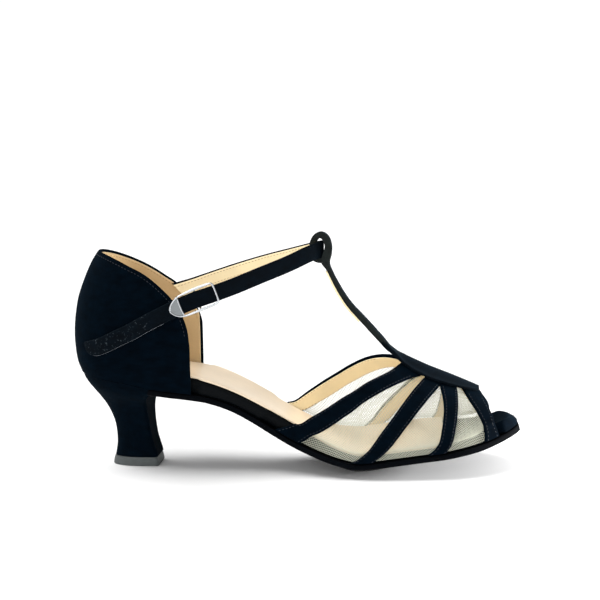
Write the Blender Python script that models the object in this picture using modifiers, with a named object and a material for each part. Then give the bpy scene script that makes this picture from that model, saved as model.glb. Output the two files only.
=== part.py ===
"""A ballroom dance shoe for the right foot, in metres.

+X points to the toe, +Y to the inner side of the foot, +Z up. The origin is on the
floor, under the middle of the heel's top piece. Sections are held as short tables
whose values are shares of the sizes below.
"""

import math
from collections import namedtuple

import bmesh
import bpy
from mathutils import Vector

# Sizes
SOLE_LENGTH = 0.2335
BALL_WIDTH = 0.0785
HEEL_HEIGHT = 0.0515
COUNTER_HEIGHT = 0.0648  # from the heel's seat to the back peak
VAMP_HEIGHT = 0.0740  # the highest point of the last under the straps
HEEL_SETBACK = 0.0290  # the sole starts this far behind the origin

# Material thicknesses and gaps
GAP = 0.0003
OUTSOLE = 0.0030
BOARD = 0.0086
SOCK = 0.0009
QUARTER_WALL = 0.0022
MESH_WALL = 0.0006
STRAP_WALL = 0.0016
STRAP_THICK = 0.0020
TREAD_FLAT = 0.0011  # how far the tread is pressed flat on the floor
TREAD_REACH = 0.0060  # the sole is pressed up to this high
TIP_HEIGHT = 0.0046

STRAP_WIDTH = 0.0086
TBAR_WIDTH = 0.0084

SoleRow = namedtuple("SoleRow", "along lateral medial height crown board")
SOLE = [
    SoleRow(0.000, 0.326, 0.326, 0.942, 0.000, 0.58),
    SoleRow(0.056, 0.326, 0.326, 0.905, 0.000, 0.77),
    SoleRow(0.120, 0.326, 0.326, 0.860, 0.000, 0.91),
    SoleRow(0.167, 0.326, 0.324, 0.808, 0.000, 0.98),
    SoleRow(0.210, 0.322, 0.316, 0.777, 0.000, 1.00),
    SoleRow(0.266, 0.314, 0.298, 0.744, 0.000, 1.00),
    SoleRow(0.302, 0.306, 0.274, 0.702, 0.008, 0.92),
    SoleRow(0.351, 0.294, 0.244, 0.612, 0.016, 0.84),
    SoleRow(0.396, 0.288, 0.226, 0.496, 0.020, 0.86),
    SoleRow(0.440, 0.298, 0.220, 0.366, 0.026, 0.92),
    SoleRow(0.485, 0.330, 0.222, 0.245, 0.034, 0.93),
    SoleRow(0.531, 0.380, 0.272, 0.144, 0.045, 0.78),
    SoleRow(0.574, 0.420, 0.366, 0.063, 0.056, 0.66),
    SoleRow(0.604, 0.444, 0.427, 0.022, 0.062, 0.63),
    SoleRow(0.634, 0.460, 0.478, 0.000, 0.064, 0.60),
    SoleRow(0.664, 0.468, 0.514, 0.009, 0.064, 0.57),
    SoleRow(0.707, 0.470, 0.543, 0.037, 0.063, 0.51),
    SoleRow(0.771, 0.460, 0.552, 0.081, 0.059, 0.49),
    SoleRow(0.835, 0.432, 0.520, 0.122, 0.053, 0.50),
    SoleRow(0.902, 0.382, 0.446, 0.197, 0.042, 0.58),
    SoleRow(0.946, 0.335, 0.395, 0.273, 0.030, 0.80),
    SoleRow(1.000, 0.270, 0.330, 0.374, 0.020, 0.80),
]
HEEL_ROUND = 0.118  # share of the length that each round end takes
TOE_ROUND = 0.180
ROUND_POWER = 2.15

RidgeRow = namedtuple("RidgeRow", "along height offset")
RIDGE = [
    RidgeRow(0.40, 0.970, 0.00),
    RidgeRow(0.55, 0.960, 0.00),
    RidgeRow(0.60, 0.930, 0.01),
    RidgeRow(0.64, 0.885, 0.02),
    RidgeRow(0.69, 0.812, 0.03),
    RidgeRow(0.737, 0.732, 0.04),
    RidgeRow(0.790, 0.654, 0.04),
    RidgeRow(0.842, 0.589, 0.04),
    RidgeRow(0.905, 0.505, 0.03),
    RidgeRow(0.950, 0.440, 0.02),
    RidgeRow(1.000, 0.370, 0.00),
]
ARCH_POWER = 1.22  # how the vamp's section rounds off at the ridge and at the sole
WALL_POWER = 1.38
WALL_SHARE = 0.13  # share of the girth that stands up against the board's edge

BackRow = namedtuple("BackRow", "rise lean width")
BACK = [
    BackRow(-0.20, 0.000, 1.00),
    BackRow(0.00, 0.000, 1.00),
    BackRow(0.08, -0.030, 1.02),
    BackRow(0.20, -0.047, 1.045),
    BackRow(0.34, -0.051, 1.05),
    BackRow(0.48, -0.038, 1.03),
    BackRow(0.62, -0.011, 0.99),
    BackRow(0.74, 0.031, 0.94),
    BackRow(0.84, 0.073, 0.89),
    BackRow(0.92, 0.114, 0.84),
    BackRow(1.00, 0.167, 0.78),
]

CollarRow = namedtuple("CollarRow", "along lateral medial")
COLLAR = [
    CollarRow(0.0450, 1.000, 1.000),
    CollarRow(0.0600, 0.985, 0.980),
    CollarRow(0.0820, 0.960, 0.946),
    CollarRow(0.1100, 0.918, 0.898),
    CollarRow(0.1330, 0.876, 0.856),
    CollarRow(0.1570, 0.832, 0.806),
    CollarRow(0.1800, 0.776, 0.750),
    CollarRow(0.2030, 0.705, 0.693),
    CollarRow(0.2290, 0.610, 0.602),
    CollarRow(0.2460, 0.520, 0.515),
    CollarRow(0.2560, 0.440, 0.440),
    CollarRow(0.2630, 0.350, 0.350),
    CollarRow(0.2665, 0.230, 0.230),
]
QUARTER_END = 0.2665

HeelRow = namedtuple("HeelRow", "rise dip back breast width")
HEEL = [
    HeelRow(0.103, 0.000, -0.246, 0.224, 0.172),
    HeelRow(0.150, 0.000, -0.237, 0.213, 0.171),
    HeelRow(0.215, 0.000, -0.227, 0.194, 0.172),
    HeelRow(0.285, 0.000, -0.224, 0.174, 0.175),
    HeelRow(0.355, 0.000, -0.227, 0.162, 0.180),
    HeelRow(0.430, 0.000, -0.238, 0.151, 0.190),
    HeelRow(0.510, 0.000, -0.260, 0.142, 0.208),
    HeelRow(0.590, 0.005, -0.294, 0.137, 0.238),
    HeelRow(0.665, 0.018, -0.335, 0.139, 0.277),
    HeelRow(0.735, 0.042, -0.383, 0.146, 0.326),
    HeelRow(0.805, 0.075, -0.435, 0.158, 0.384),
    HeelRow(0.870, 0.100, -0.484, 0.172, 0.436),
    HeelRow(0.935, 0.118, -0.530, 0.184, 0.475),
]
HEEL_BREAST = 0.1660  # where the seat ends, as a share of the sole's length
TIP_BACK, TIP_BREAST, TIP_WIDTH = -0.270, 0.236, 0.176

StrapRow = namedtuple("StrapRow", "girth rear front")
OUTER_FIRST = [
    StrapRow(1.00, 0.446, 0.505),
    StrapRow(0.90, 0.468, 0.518),
    StrapRow(0.80, 0.488, 0.531),
    StrapRow(0.65, 0.521, 0.569),
    StrapRow(0.50, 0.574, 0.626),
    StrapRow(0.35, 0.642, 0.691),
    StrapRow(0.20, 0.703, 0.748),
    StrapRow(0.00, 0.742, 0.815),
]
INNER_FIRST = [
    StrapRow(1.00, 0.425, 0.470),
    StrapRow(0.90, 0.437, 0.478),
    StrapRow(0.80, 0.451, 0.491),
    StrapRow(0.65, 0.481, 0.527),
    StrapRow(0.50, 0.528, 0.584),
    StrapRow(0.35, 0.595, 0.653),
    StrapRow(0.20, 0.659, 0.715),
    StrapRow(0.00, 0.742, 0.800),
]
SECOND = [
    StrapRow(1.00, 0.621, 0.673),
    StrapRow(0.90, 0.650, 0.698),
    StrapRow(0.80, 0.666, 0.712),
    StrapRow(0.65, 0.690, 0.735),
    StrapRow(0.50, 0.718, 0.761),
    StrapRow(0.35, 0.745, 0.787),
    StrapRow(0.20, 0.771, 0.812),
    StrapRow(0.00, 0.802, 0.840),
]
THIRD = [
    StrapRow(1.00, 0.790, 0.829),
    StrapRow(0.90, 0.808, 0.843),
    StrapRow(0.80, 0.816, 0.849),
    StrapRow(0.65, 0.821, 0.853),
    StrapRow(0.50, 0.8247, 0.8565),
    StrapRow(0.35, 0.8252, 0.858),
    StrapRow(0.20, 0.8185, 0.8565),
    StrapRow(0.00, 0.806, 0.850),
]
TOE_STRAP = [
    StrapRow(1.00, 0.914, 0.9465),
    StrapRow(0.90, 0.922, 0.948),
    StrapRow(0.80, 0.9225, 0.9475),
    StrapRow(0.65, 0.9195, 0.9455),
    StrapRow(0.50, 0.910, 0.9405),
    StrapRow(0.35, 0.896, 0.931),
    StrapRow(0.20, 0.8775, 0.9175),
    StrapRow(0.00, 0.855, 0.902),
]

BarRow = namedtuple("BarRow", "along girth")
BAR = [  # half-widths of the T-bar where it lies on the straps
    BarRow(0.735, 0.116),
    BarRow(0.755, 0.136),
    BarRow(0.790, 0.155),
    BarRow(0.830, 0.158),
    BarRow(0.866, 0.142),
    BarRow(0.890, 0.114),
    BarRow(0.900, 0.088),
]

PathRow = namedtuple("PathRow", "along across height width")
T_STRAP = [  # from the loop's rear end, over the ankle strap, down to the vamp
    PathRow(0.5605, 0.000, 2.112, 0.80),
    PathRow(0.5490, 0.000, 2.106, 0.70),
    PathRow(0.5387, 0.000, 2.130, 0.56),
    PathRow(0.5337, 0.000, 2.195, 0.54),
    PathRow(0.5335, 0.000, 2.290, 0.54),
    PathRow(0.5415, 0.000, 2.362, 0.80),
    PathRow(0.5535, 0.000, 2.386, 1.00),
    PathRow(0.5655, 0.000, 2.352, 1.00),
    PathRow(0.5725, 0.000, 2.270, 1.00),
    PathRow(0.5715, 0.000, 2.180, 1.00),
    PathRow(0.5675, 0.000, 2.100, 1.00),
    PathRow(0.5715, 0.000, 2.020, 1.00),
    PathRow(0.5895, 0.000, 1.852, 1.00),
    PathRow(0.6130, 0.002, 1.668, 1.00),
    PathRow(0.6460, 0.006, 1.476, 1.02),
    PathRow(0.6830, 0.014, 1.297, 1.10),
    PathRow(0.7090, 0.024, 1.190, 1.25),
]

AnkleRow = namedtuple("AnkleRow", "along across height width skew")
ANKLE = [  # from the inner quarter, round through the loop, to the buckle
    AnkleRow(0.2253, 0.283, 1.784, 1.26, 0.45),
    AnkleRow(0.2570, 0.288, 1.838, 1.08, 0.20),
    AnkleRow(0.2920, 0.284, 1.897, 1.00, 0.05),
    AnkleRow(0.3550, 0.262, 1.990, 1.00, 0.00),
    AnkleRow(0.4200, 0.215, 2.078, 1.00, 0.00),
    AnkleRow(0.4800, 0.150, 2.150, 1.00, 0.00),
    AnkleRow(0.5250, 0.088, 2.205, 1.00, 0.00),
    AnkleRow(0.5460, 0.042, 2.230, 1.00, 0.00),
    AnkleRow(0.5515, 0.000, 2.237, 1.00, 0.00),
    AnkleRow(0.5460, -0.042, 2.224, 1.00, 0.00),
    AnkleRow(0.5250, -0.088, 2.190, 1.00, 0.00),
    AnkleRow(0.4800, -0.150, 2.099, 1.00, 0.00),
    AnkleRow(0.4200, -0.226, 1.995, 1.00, 0.00),
    AnkleRow(0.3700, -0.283, 1.907, 1.00, 0.00),
    AnkleRow(0.3250, -0.324, 1.836, 1.00, 0.00),
    AnkleRow(0.2800, -0.348, 1.770, 1.00, 0.00),
    AnkleRow(0.2450, -0.357, 1.703, 1.00, 0.00),
]
TailRow = namedtuple("TailRow", "along height lift width skew")
TAIL = [  # the strap's end, laid along the counter; the lift is to its middle
    TailRow(0.2050, 1.608, 0.36, 1.00, 0.00),
    TailRow(0.1800, 1.551, 0.30, 1.00, 0.00),
    TailRow(0.1600, 1.499, 0.22, 1.00, 0.00),
    TailRow(0.1400, 1.446, 0.16, 1.00, 0.00),
    TailRow(0.1190, 1.400, 0.16, 1.00, 0.00),
    TailRow(0.0980, 1.348, 0.16, 1.00, 0.00),
    TailRow(0.0790, 1.308, 0.16, 1.00, 0.00),
    TailRow(0.0620, 1.288, 0.16, 0.92, -0.35),
    TailRow(0.0530, 1.290, 0.16, 0.66, -0.70),
    TailRow(0.0490, 1.300, 0.16, 0.36, -0.90),
]

# The buckle's outlines and the paths behind it, as shares of the strap's width,
# along the strap, across it and out from its middle
PlanRow = namedtuple("PlanRow", "along across")
BUCKLE_AT = 0.2826
BUCKLE_OUTLINE = [
    PlanRow(-1.680, -0.070),
    PlanRow(-1.600, 0.140),
    PlanRow(-1.450, 0.320),
    PlanRow(-1.240, 0.480),
    PlanRow(-0.980, 0.590),
    PlanRow(-0.600, 0.660),
    PlanRow(0.100, 0.715),
    PlanRow(0.700, 0.725),
    PlanRow(1.130, 0.690),
    PlanRow(1.270, 0.620),
    PlanRow(1.330, 0.470),
    PlanRow(1.350, 0.000),
    PlanRow(1.330, -0.480),
    PlanRow(1.270, -0.630),
    PlanRow(1.130, -0.700),
    PlanRow(0.700, -0.735),
    PlanRow(0.100, -0.735),
    PlanRow(-0.600, -0.735),
    PlanRow(-1.000, -0.700),
    PlanRow(-1.260, -0.600),
    PlanRow(-1.470, -0.440),
    PlanRow(-1.620, -0.260),
]
BUCKLE_WINDOW = [
    PlanRow(-0.930, 0.420),
    PlanRow(-0.860, 0.520),
    PlanRow(0.200, 0.560),
    PlanRow(1.080, 0.570),
    PlanRow(1.190, 0.500),
    PlanRow(1.230, 0.000),
    PlanRow(1.200, -0.460),
    PlanRow(1.100, -0.560),
    PlanRow(0.200, -0.580),
    PlanRow(-0.800, -0.590),
    PlanRow(-0.900, -0.500),
    PlanRow(-0.940, 0.000),
]
OutRow = namedtuple("OutRow", "along across out")
BUCKLE_BAR = [
    OutRow(0.100, 0.640, 0.120),
    OutRow(0.100, 0.640, -0.200),
    OutRow(0.100, 0.600, -0.330),
    OutRow(0.100, 0.500, -0.370),
    OutRow(0.100, 0.000, -0.370),
    OutRow(0.100, -0.500, -0.370),
    OutRow(0.100, -0.600, -0.330),
    OutRow(0.100, -0.640, -0.200),
    OutRow(0.100, -0.640, 0.120),
]
BUCKLE_TAB = [
    OutRow(-0.800, 0.000, -0.245),
    OutRow(-0.350, 0.000, -0.225),
    OutRow(0.100, 0.000, -0.215),
    OutRow(0.255, 0.000, -0.370),
    OutRow(0.100, 0.000, -0.525),
    OutRow(-0.150, 0.000, -0.540),
    OutRow(-0.600, 0.000, -0.540),
]
TAB_WIDTH, TAB_THICK = 0.0062, 0.0008
FRAME_THICK = 0.0013
BAR_RADIUS = 0.0006

# The flat pattern that the straps are cut from before they are lasted
GIRTH_SCALE = 0.050
FAN_LIFT = 0.0010
BAR_LIFT = FAN_LIFT + STRAP_WALL + GAP
BAR_THICK = 0.0020
BAR_PLATE = 0.0014


def through(rows, column, at):
    """Smooth curve through one column of a table, whose first column is the position."""
    xs = [row[0] for row in rows]
    ys = [getattr(row, column) for row in rows]
    at = min(max(at, xs[0]), xs[-1])
    i = 0
    while i < len(xs) - 2 and at > xs[i + 1]:
        i += 1

    def slope(k):
        low, high = max(k - 1, 0), min(k + 1, len(xs) - 1)
        return (ys[high] - ys[low]) / (xs[high] - xs[low])

    span = xs[i + 1] - xs[i]
    t = (at - xs[i]) / span
    return (
        (2 * t**3 - 3 * t**2 + 1) * ys[i]
        + (t**3 - 2 * t**2 + t) * slope(i) * span
        + (3 * t**2 - 2 * t**3) * ys[i + 1]
        + (t**3 - t**2) * slope(i + 1) * span
    )


def ease(low, high, at):
    """0 before `low`, 1 after `high`, smooth between."""
    t = min(max((at - low) / (high - low), 0), 1)
    return t * t * (3 - 2 * t)


def along_of(x):
    return (x + HEEL_SETBACK) / SOLE_LENGTH


def x_of(along):
    return along * SOLE_LENGTH - HEEL_SETBACK


# The sole


def full_width(x, side):
    return through(SOLE, "lateral" if side < 0 else "medial", along_of(x)) * BALL_WIDTH


def outline(x, side, inset=0.0):
    """Half-width of the sole's outline, drawn in by `inset` all round."""
    along = along_of(x)
    trim = inset / SOLE_LENGTH
    near = min((along - trim) / HEEL_ROUND, (1 - trim - along) / TOE_ROUND, 1)
    left = (1 - (1 - max(near, 0)) ** ROUND_POWER) ** (1 / ROUND_POWER)
    return (full_width(x, side) - inset) * left


def underside(x):
    return through(SOLE, "height", along_of(x)) * HEEL_HEIGHT


def pitch(x):
    step = 0.0015
    return math.atan2(underside(x + step) - underside(x - step), 2 * step)


def board(x):
    return through(SOLE, "board", along_of(x)) * BOARD


def sole_point(x, y, lift):
    """Point of the sole `lift` above its underside, square to its line."""
    side = -1 if y < 0 else 1
    crown = through(SOLE, "crown", along_of(x)) * BALL_WIDTH
    angle = pitch(x)
    z = underside(x) + crown * (y / full_width(x, side)) ** 2
    z -= TREAD_FLAT * (1 - ease(0, TREAD_REACH, z))
    return Vector((x - lift * math.sin(angle), y, max(z + lift * math.cos(angle), 0)))


# The upper


def quarter_point(along, side, z, depth=0.0):
    """Point of the counter's outer face above the outline at `along`, `depth` inside it."""

    def face(at, height):
        x0 = x_of(at)
        seat = underside(x0) + OUTSOLE
        rise = (height - seat) / COUNTER_HEIGHT
        front = 1 - ease(0, QUARTER_END, at)
        lean = through(BACK, "lean", rise) * COUNTER_HEIGHT * front
        return Vector((x0 + lean, side * outline(x0, side) * through(BACK, "width", rise), height))

    step = 0.0015
    low = face(max(along - step, 0.0), z)
    across = face(along + step, z) - low
    if along < step:
        across = Vector((0, side, 0))
    up = face(along, z + 0.0005) - face(along, z - 0.0005)
    normal = up.cross(across).normalized() * side
    return face(along, z) - normal * depth


def vamp_point(x, girth, lift=0.0):
    """Point over the forefoot: girth -1 is the outer side of the sole, 0 the ridge, 1 the inner side."""

    def face(at, t):
        side = -1 if t < 0 else 1
        reach = outline(at, side, QUARTER_WALL + GAP)
        foot = sole_point(at, side * outline(at, side), OUTSOLE + 1.5 * GAP)
        foot.y = side * reach
        brim = sole_point(at, side * reach, OUTSOLE + board(at) + SOCK)
        share = (1 - abs(t)) / WALL_SHARE
        if share < 1:
            return foot + (brim - foot) * share
        ridge = through(RIDGE, "height", along_of(at)) * VAMP_HEIGHT
        middle = through(RIDGE, "offset", along_of(at)) * BALL_WIDTH
        angle = math.pi / 2 * (1 - (abs(t) / (1 - WALL_SHARE)) ** 0.75)
        out = max(math.cos(angle), 0) ** (2 / ARCH_POWER)
        up = math.sin(angle) ** (2 / WALL_POWER)
        return Vector(
            (brim.x + (at - brim.x) * up, middle + (brim.y - middle) * out, brim.z + (ridge - brim.z) * up)
        )

    across = face(x, min(girth + 0.02, 1)) - face(x, max(girth - 0.02, -1))
    forward = face(x + 0.0008, girth) - face(x - 0.0008, girth)
    return face(x, girth) + forward.cross(across).normalized() * lift


def collar_height(x, side):
    column = "lateral" if side < 0 else "medial"
    return HEEL_HEIGHT + through(COLLAR, column, along_of(x)) * COUNTER_HEIGHT


def collar_point(along, side, depth=0.0):
    """Where the counter's face at `along` reaches the collar."""
    low, high = HEEL_HEIGHT * 0.9, HEEL_HEIGHT + COUNTER_HEIGHT * 1.1
    for _ in range(24):
        z = (low + high) / 2
        if z < collar_height(quarter_point(along, side, z).x, side):
            low = z
        else:
            high = z
    return quarter_point(along, side, low, depth)


# Builders


def finish(name, colour, rough, metallic=0.0):
    material = bpy.data.materials.new(name)
    material.use_nodes = True
    surface = material.node_tree.nodes["Principled BSDF"]
    surface.inputs["Base Color"].default_value = (*colour, 1)
    surface.inputs["Roughness"].default_value = rough
    surface.inputs["Metallic"].default_value = metallic
    return material


def new_object(name, points, faces, material=None):
    mesh = bpy.data.meshes.new(name)
    mesh.from_pydata([tuple(point) for point in points], [], faces)
    shape = bmesh.new()
    shape.from_mesh(mesh)
    bmesh.ops.recalc_face_normals(shape, faces=shape.faces)
    shape.to_mesh(mesh)
    shape.free()
    made = bpy.data.objects.new(name, mesh)
    bpy.context.scene.collection.objects.link(made)
    if material:
        mesh.materials.append(material)
    return made


def slab(name, top, bottom, material=None):
    """One closed piece between two grids of points with the same rows and columns."""
    rows, cols = len(top), len(top[0])
    points = [p for row in top for p in row] + [p for row in bottom for p in row]
    under = rows * cols
    faces = []
    for i in range(rows - 1):
        for j in range(cols - 1):
            a, b, c, d = i * cols + j, i * cols + j + 1, (i + 1) * cols + j + 1, (i + 1) * cols + j
            faces.append((a, b, c, d))
            faces.append((under + d, under + c, under + b, under + a))
    rim = [j for j in range(cols)]
    rim += [i * cols + cols - 1 for i in range(1, rows)]
    rim += [(rows - 1) * cols + j for j in range(cols - 2, -1, -1)]
    rim += [i * cols for i in range(rows - 2, 0, -1)]
    for a, b in zip(rim, rim[1:] + rim[:1]):
        faces.append((a, under + a, under + b, b))
    return new_object(name, points, faces, material)


def one_floor_face(made):
    """Joins the faces that lie flat on the floor into one."""
    shape = bmesh.new()
    shape.from_mesh(made.data)
    flat = [face for face in shape.faces if max(vert.co.z for vert in face.verts) < 1e-7]
    bmesh.ops.dissolve_faces(shape, faces=flat)
    shape.to_mesh(made.data)
    shape.free()


def spread(low, high, count, crowd=0.6):
    """Positions from low to high, closer together at both ends."""
    found = []
    for k in range(count):
        share = k / (count - 1)
        eased = (1 - math.cos(math.pi * share)) / 2
        found.append(low + (high - low) * (share + (eased - share) * crowd))
    return found


def plate_column(x, share, inset):
    """Where a column of a plate lies: all plates share them, up to their own edges."""
    side = -1 if share < 0 else 1
    edge = outline(x, side, inset)
    return side * min(abs(share) * outline(x, side), edge * math.sqrt(abs(share)))


def sole_plate(name, start, end, inset, low, high, material):
    """A plate that follows the sole's line, between two lifts above its underside."""
    top, bottom = [], []
    stations = [along for along in spread(0, 1, 61, 0.75) if start + 0.003 < along < end - 0.003]
    for along in [start, *stations, end]:
        x = x_of(along)
        across = [plate_column(x, share, inset(x)) for share in spread(-1, 1, 9, 0.3)]
        top.append([sole_point(x, y, high(x)) for y in across])
        bottom.append([sole_point(x, y, low(x)) for y in across])
    return slab(name, top, bottom, material)


def tucked(x):
    """How far the board stands in from the outline, where the upper wraps round it."""
    heel = 1 - ease(x_of(0.272), x_of(0.280), x)
    fore = ease(x_of(0.405), x_of(0.420), x) * (1 - ease(x_of(0.952), x_of(0.972), x))
    return GAP * 1.5 + (QUARTER_WALL + GAP) * max(heel, fore)


def heel_outline(share):
    """The seat's half-width at a share of the way from its back to the breast."""
    x = x_of(share * HEEL_BREAST)
    corner = 1 - 0.10 * max((share - 0.93) / 0.07, 0) ** 2
    return outline(x, -1) / (BALL_WIDTH * SOLE[0].lateral) * corner


def column_of_rings(name, rings, material):
    """A solid through rings (backmost point first, then left and right points in pairs)."""
    pairs = (len(rings[0]) - 1) // 2
    left = [0] + list(range(1, pairs + 1))
    right = [0] + list(range(pairs + 1, 2 * pairs + 1))
    loop = left + right[:0:-1]
    count = len(rings[0])
    points = [p for ring in rings for p in ring]
    faces = []
    for k in range(len(rings) - 1):
        for a, b in zip(loop, loop[1:] + loop[:1]):
            faces.append((k * count + a, k * count + b, (k + 1) * count + b, (k + 1) * count + a))
    for base in (0, (len(rings) - 1) * count):
        faces.append((base, base + left[1], base + right[1]))
        for i in range(1, pairs):
            faces.append((base + left[i], base + left[i + 1], base + right[i + 1], base + right[i]))
    return new_object(name, points, faces, material)


def heel_level(row, share):
    """Height of one level of the heel, which starts a gap above its top piece."""
    low, first = TIP_HEIGHT + GAP, HEEL[0].rise
    return low + (row.rise - row.dip * share - first) / (1 - first) * (HEEL_HEIGHT - low)


def heel_ring(back, breast, width, height):
    """Points of one level of the heel; `height` gives z at a share of its length."""
    shares = [(1 - math.cos(math.pi / 2 * k / 9)) * 0.66 for k in range(1, 10)]
    shares += [0.78, 0.88, 0.94, 0.98, 1.0]
    ring = [Vector((back, 0, height(0)))]
    for side in (-1, 1):
        for share in shares:
            x = back + (breast - back) * share
            ring.append(Vector((x, side * width * heel_outline(share), height(share))))
    return ring


def smooth_path(points, steps):
    """Catmull-Rom points through a list of vectors."""
    ends = [points[0] * 2 - points[1], *points, points[-1] * 2 - points[-2]]
    found = []
    for a, b, c, d in zip(ends, ends[1:], ends[2:], ends[3:]):
        for k in range(steps):
            t = k / steps
            found.append(
                (b * 2 + (c - a) * t + (a * 2 - b * 5 + c * 4 - d) * t**2 + (b * 3 - a - c * 3 + d) * t**3) / 2
            )
    return found + [points[-1]]


def shared(row):
    return Vector((x_of(row.along), row.across * BALL_WIDTH, row.height * HEEL_HEIGHT))


def ribbon_rows(centres, outs, widths, skews, thick, steps):
    """Two grids (outer and inner face) of a strap along smooth edges through the given rows."""
    edges = [[], [], [], []]
    last = len(centres) - 1
    for k, centre in enumerate(centres):
        along = (centres[min(k + 1, last)] - centres[max(k - 1, 0)]).normalized()
        out = outs[k] if outs[k] else Vector((0, 0, 1)).cross(along).normalized()
        up = along.cross(out).normalized()
        out = up.cross(along).normalized()
        half = widths[k] / 2
        top = centre + (up - along * skews[k]) * half
        bottom = centre - (up - along * skews[k]) * half
        for edge, point, lift in zip(edges, (top, bottom, top, bottom), (0.5, 0.5, -0.5, -0.5)):
            edge.append(point + out * thick * lift)
    curves = [smooth_path(edge, steps) for edge in edges]
    return [list(pair) for pair in zip(curves[0], curves[1])], [list(pair) for pair in zip(curves[2], curves[3])]


def ankle_path():
    """Centres, outward directions, widths and skews of the ankle strap."""
    centres = [shared(row) for row in ANKLE]
    outs = [None] * len(ANKLE)
    for row in TAIL:
        z, lift = row.height * HEEL_HEIGHT, row.lift * STRAP_WIDTH
        centre = quarter_point(row.along, -1, z, -lift)
        centres.append(centre)
        outs.append((centre - quarter_point(row.along, -1, z)).normalized())
    rows = ANKLE + TAIL
    return centres, outs, [row.width * STRAP_WIDTH for row in rows], [row.skew for row in rows]


def buckle_frame_axes():
    """Middle of the buckle on the strap, and the directions along, across and out from it."""
    centres, _, _, _ = ankle_path()
    path = smooth_path(centres, 12)
    target = x_of(BUCKLE_AT)
    at = min((k for k in range(len(path) // 2, len(path))), key=lambda k: abs(path[k].x - target))
    along = (path[at - 14] - path[at + 14]).normalized()
    out = along.cross(Vector((0, 0, 1))).normalized()
    return path[at], along, out.cross(along).normalized(), out


def on_buckle(axes, row, out=0.0):
    middle, along, across, outward = axes
    return middle + along * row.along * STRAP_WIDTH + across * row.across * STRAP_WIDTH + outward * out


def prism(name, outline_points, low, high):
    """A hidden cutter: the outline raised from one level to another."""
    count = len(outline_points)
    points = [(*p, low) for p in outline_points] + [(*p, high) for p in outline_points]
    faces = [tuple(range(count)), tuple(range(count, 2 * count))]
    faces += [(k, (k + 1) % count, count + (k + 1) % count, count + k) for k in range(count)]
    made = new_object(name, points, faces)
    made.hide_render = True
    made.display_type = "WIRE"
    return made


def boolean(target, operation, other):
    modifier = target.modifiers.new(operation.title(), "BOOLEAN")
    modifier.operation = operation
    modifier.solver = "EXACT"
    modifier.object = other
    return modifier


def baked(made):
    """The object's mesh with its modifiers applied."""
    graph = bpy.context.evaluated_depsgraph_get()
    return bpy.data.meshes.new_from_object(made.evaluated_get(graph))


def drop(*helpers):
    for helper in helpers:
        bpy.data.objects.remove(helper, do_unlink=True)


def strap_pattern(rows, side):
    """Outline of one strap in the flat pattern, from the sole to just over the ridge."""
    levels = [1.06, *[row.girth for row in rows], -0.03]
    rear = [rows[0].rear, *[row.rear for row in rows], rows[-1].rear]
    front = [rows[0].front, *[row.front for row in rows], rows[-1].front]
    spots = [(x_of(x), side * girth * GIRTH_SCALE) for x, girth in zip(rear, levels)]
    spots += [(x_of(x), side * girth * GIRTH_SCALE) for x, girth in reversed(list(zip(front, levels)))]
    flat = [Vector((*spot, 0)) for spot in spots]
    half = len(flat) // 2
    curved = smooth_path(flat[:half], 3) + smooth_path(flat[half:], 3)
    curved = [(p.x, p.y) for p in curved]
    return curved if side < 0 else curved[::-1]


def lasted_straps(name, material):
    """The fan of straps: cut out of a flat grid, then laid on the last."""
    spine = [(x_of(a), s * 0.11 * GIRTH_SCALE) for a, s in ((0.745, -1), (0.900, -1), (0.900, 1), (0.745, 1))]
    fan = prism(name + "_pattern", spine, -0.01, 0.01)
    patterns = [prism("pattern", strap_pattern(rows, side), -0.01, 0.01)
                for side, first in ((-1, OUTER_FIRST), (1, INNER_FIRST))
                for rows in (first, SECOND, THIRD, TOE_STRAP)]
    for pattern in patterns:
        boolean(fan, "UNION", pattern)
    xs = [x_of(0.38 + 0.59 * k / 26) for k in range(27)]
    ys = [GIRTH_SCALE * (k / 10 - 1) for k in range(21)]
    sheet = slab(
        "sheet",
        [[Vector((x, y, FAN_LIFT + STRAP_WALL)) for y in ys] for x in xs],
        [[Vector((x, y, FAN_LIFT)) for y in ys] for x in xs],
    )
    boolean(fan, "INTERSECT", sheet)
    mesh = baked(fan)
    drop(fan, sheet, *patterns)
    shape = bmesh.new()
    shape.from_mesh(mesh)
    bmesh.ops.remove_doubles(shape, verts=shape.verts, dist=0.00005)
    bmesh.ops.dissolve_degenerate(shape, edges=shape.edges, dist=0.00002)
    bmesh.ops.triangulate(shape, faces=shape.faces)
    for vert in shape.verts:
        vert.co = vamp_point(vert.co.x, vert.co.y / GIRTH_SCALE, vert.co.z)
    bmesh.ops.recalc_face_normals(shape, faces=shape.faces)
    shape.to_mesh(mesh)
    shape.free()
    mesh.name = name
    mesh.materials.clear()
    mesh.materials.append(material)
    made = bpy.data.objects.new(name, mesh)
    bpy.context.scene.collection.objects.link(made)
    return made


def mid(rows, girth):
    """The middle line of a strap at a girth, as a share of the sole's length."""
    ordered = sorted(rows, key=lambda row: row.girth)
    at = abs(girth)
    return (through(ordered, "rear", at) + through(ordered, "front", at)) / 2


# Nodes


def clear_scene():
    for thing in list(bpy.data.objects):
        bpy.data.objects.remove(thing, do_unlink=True)


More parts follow.
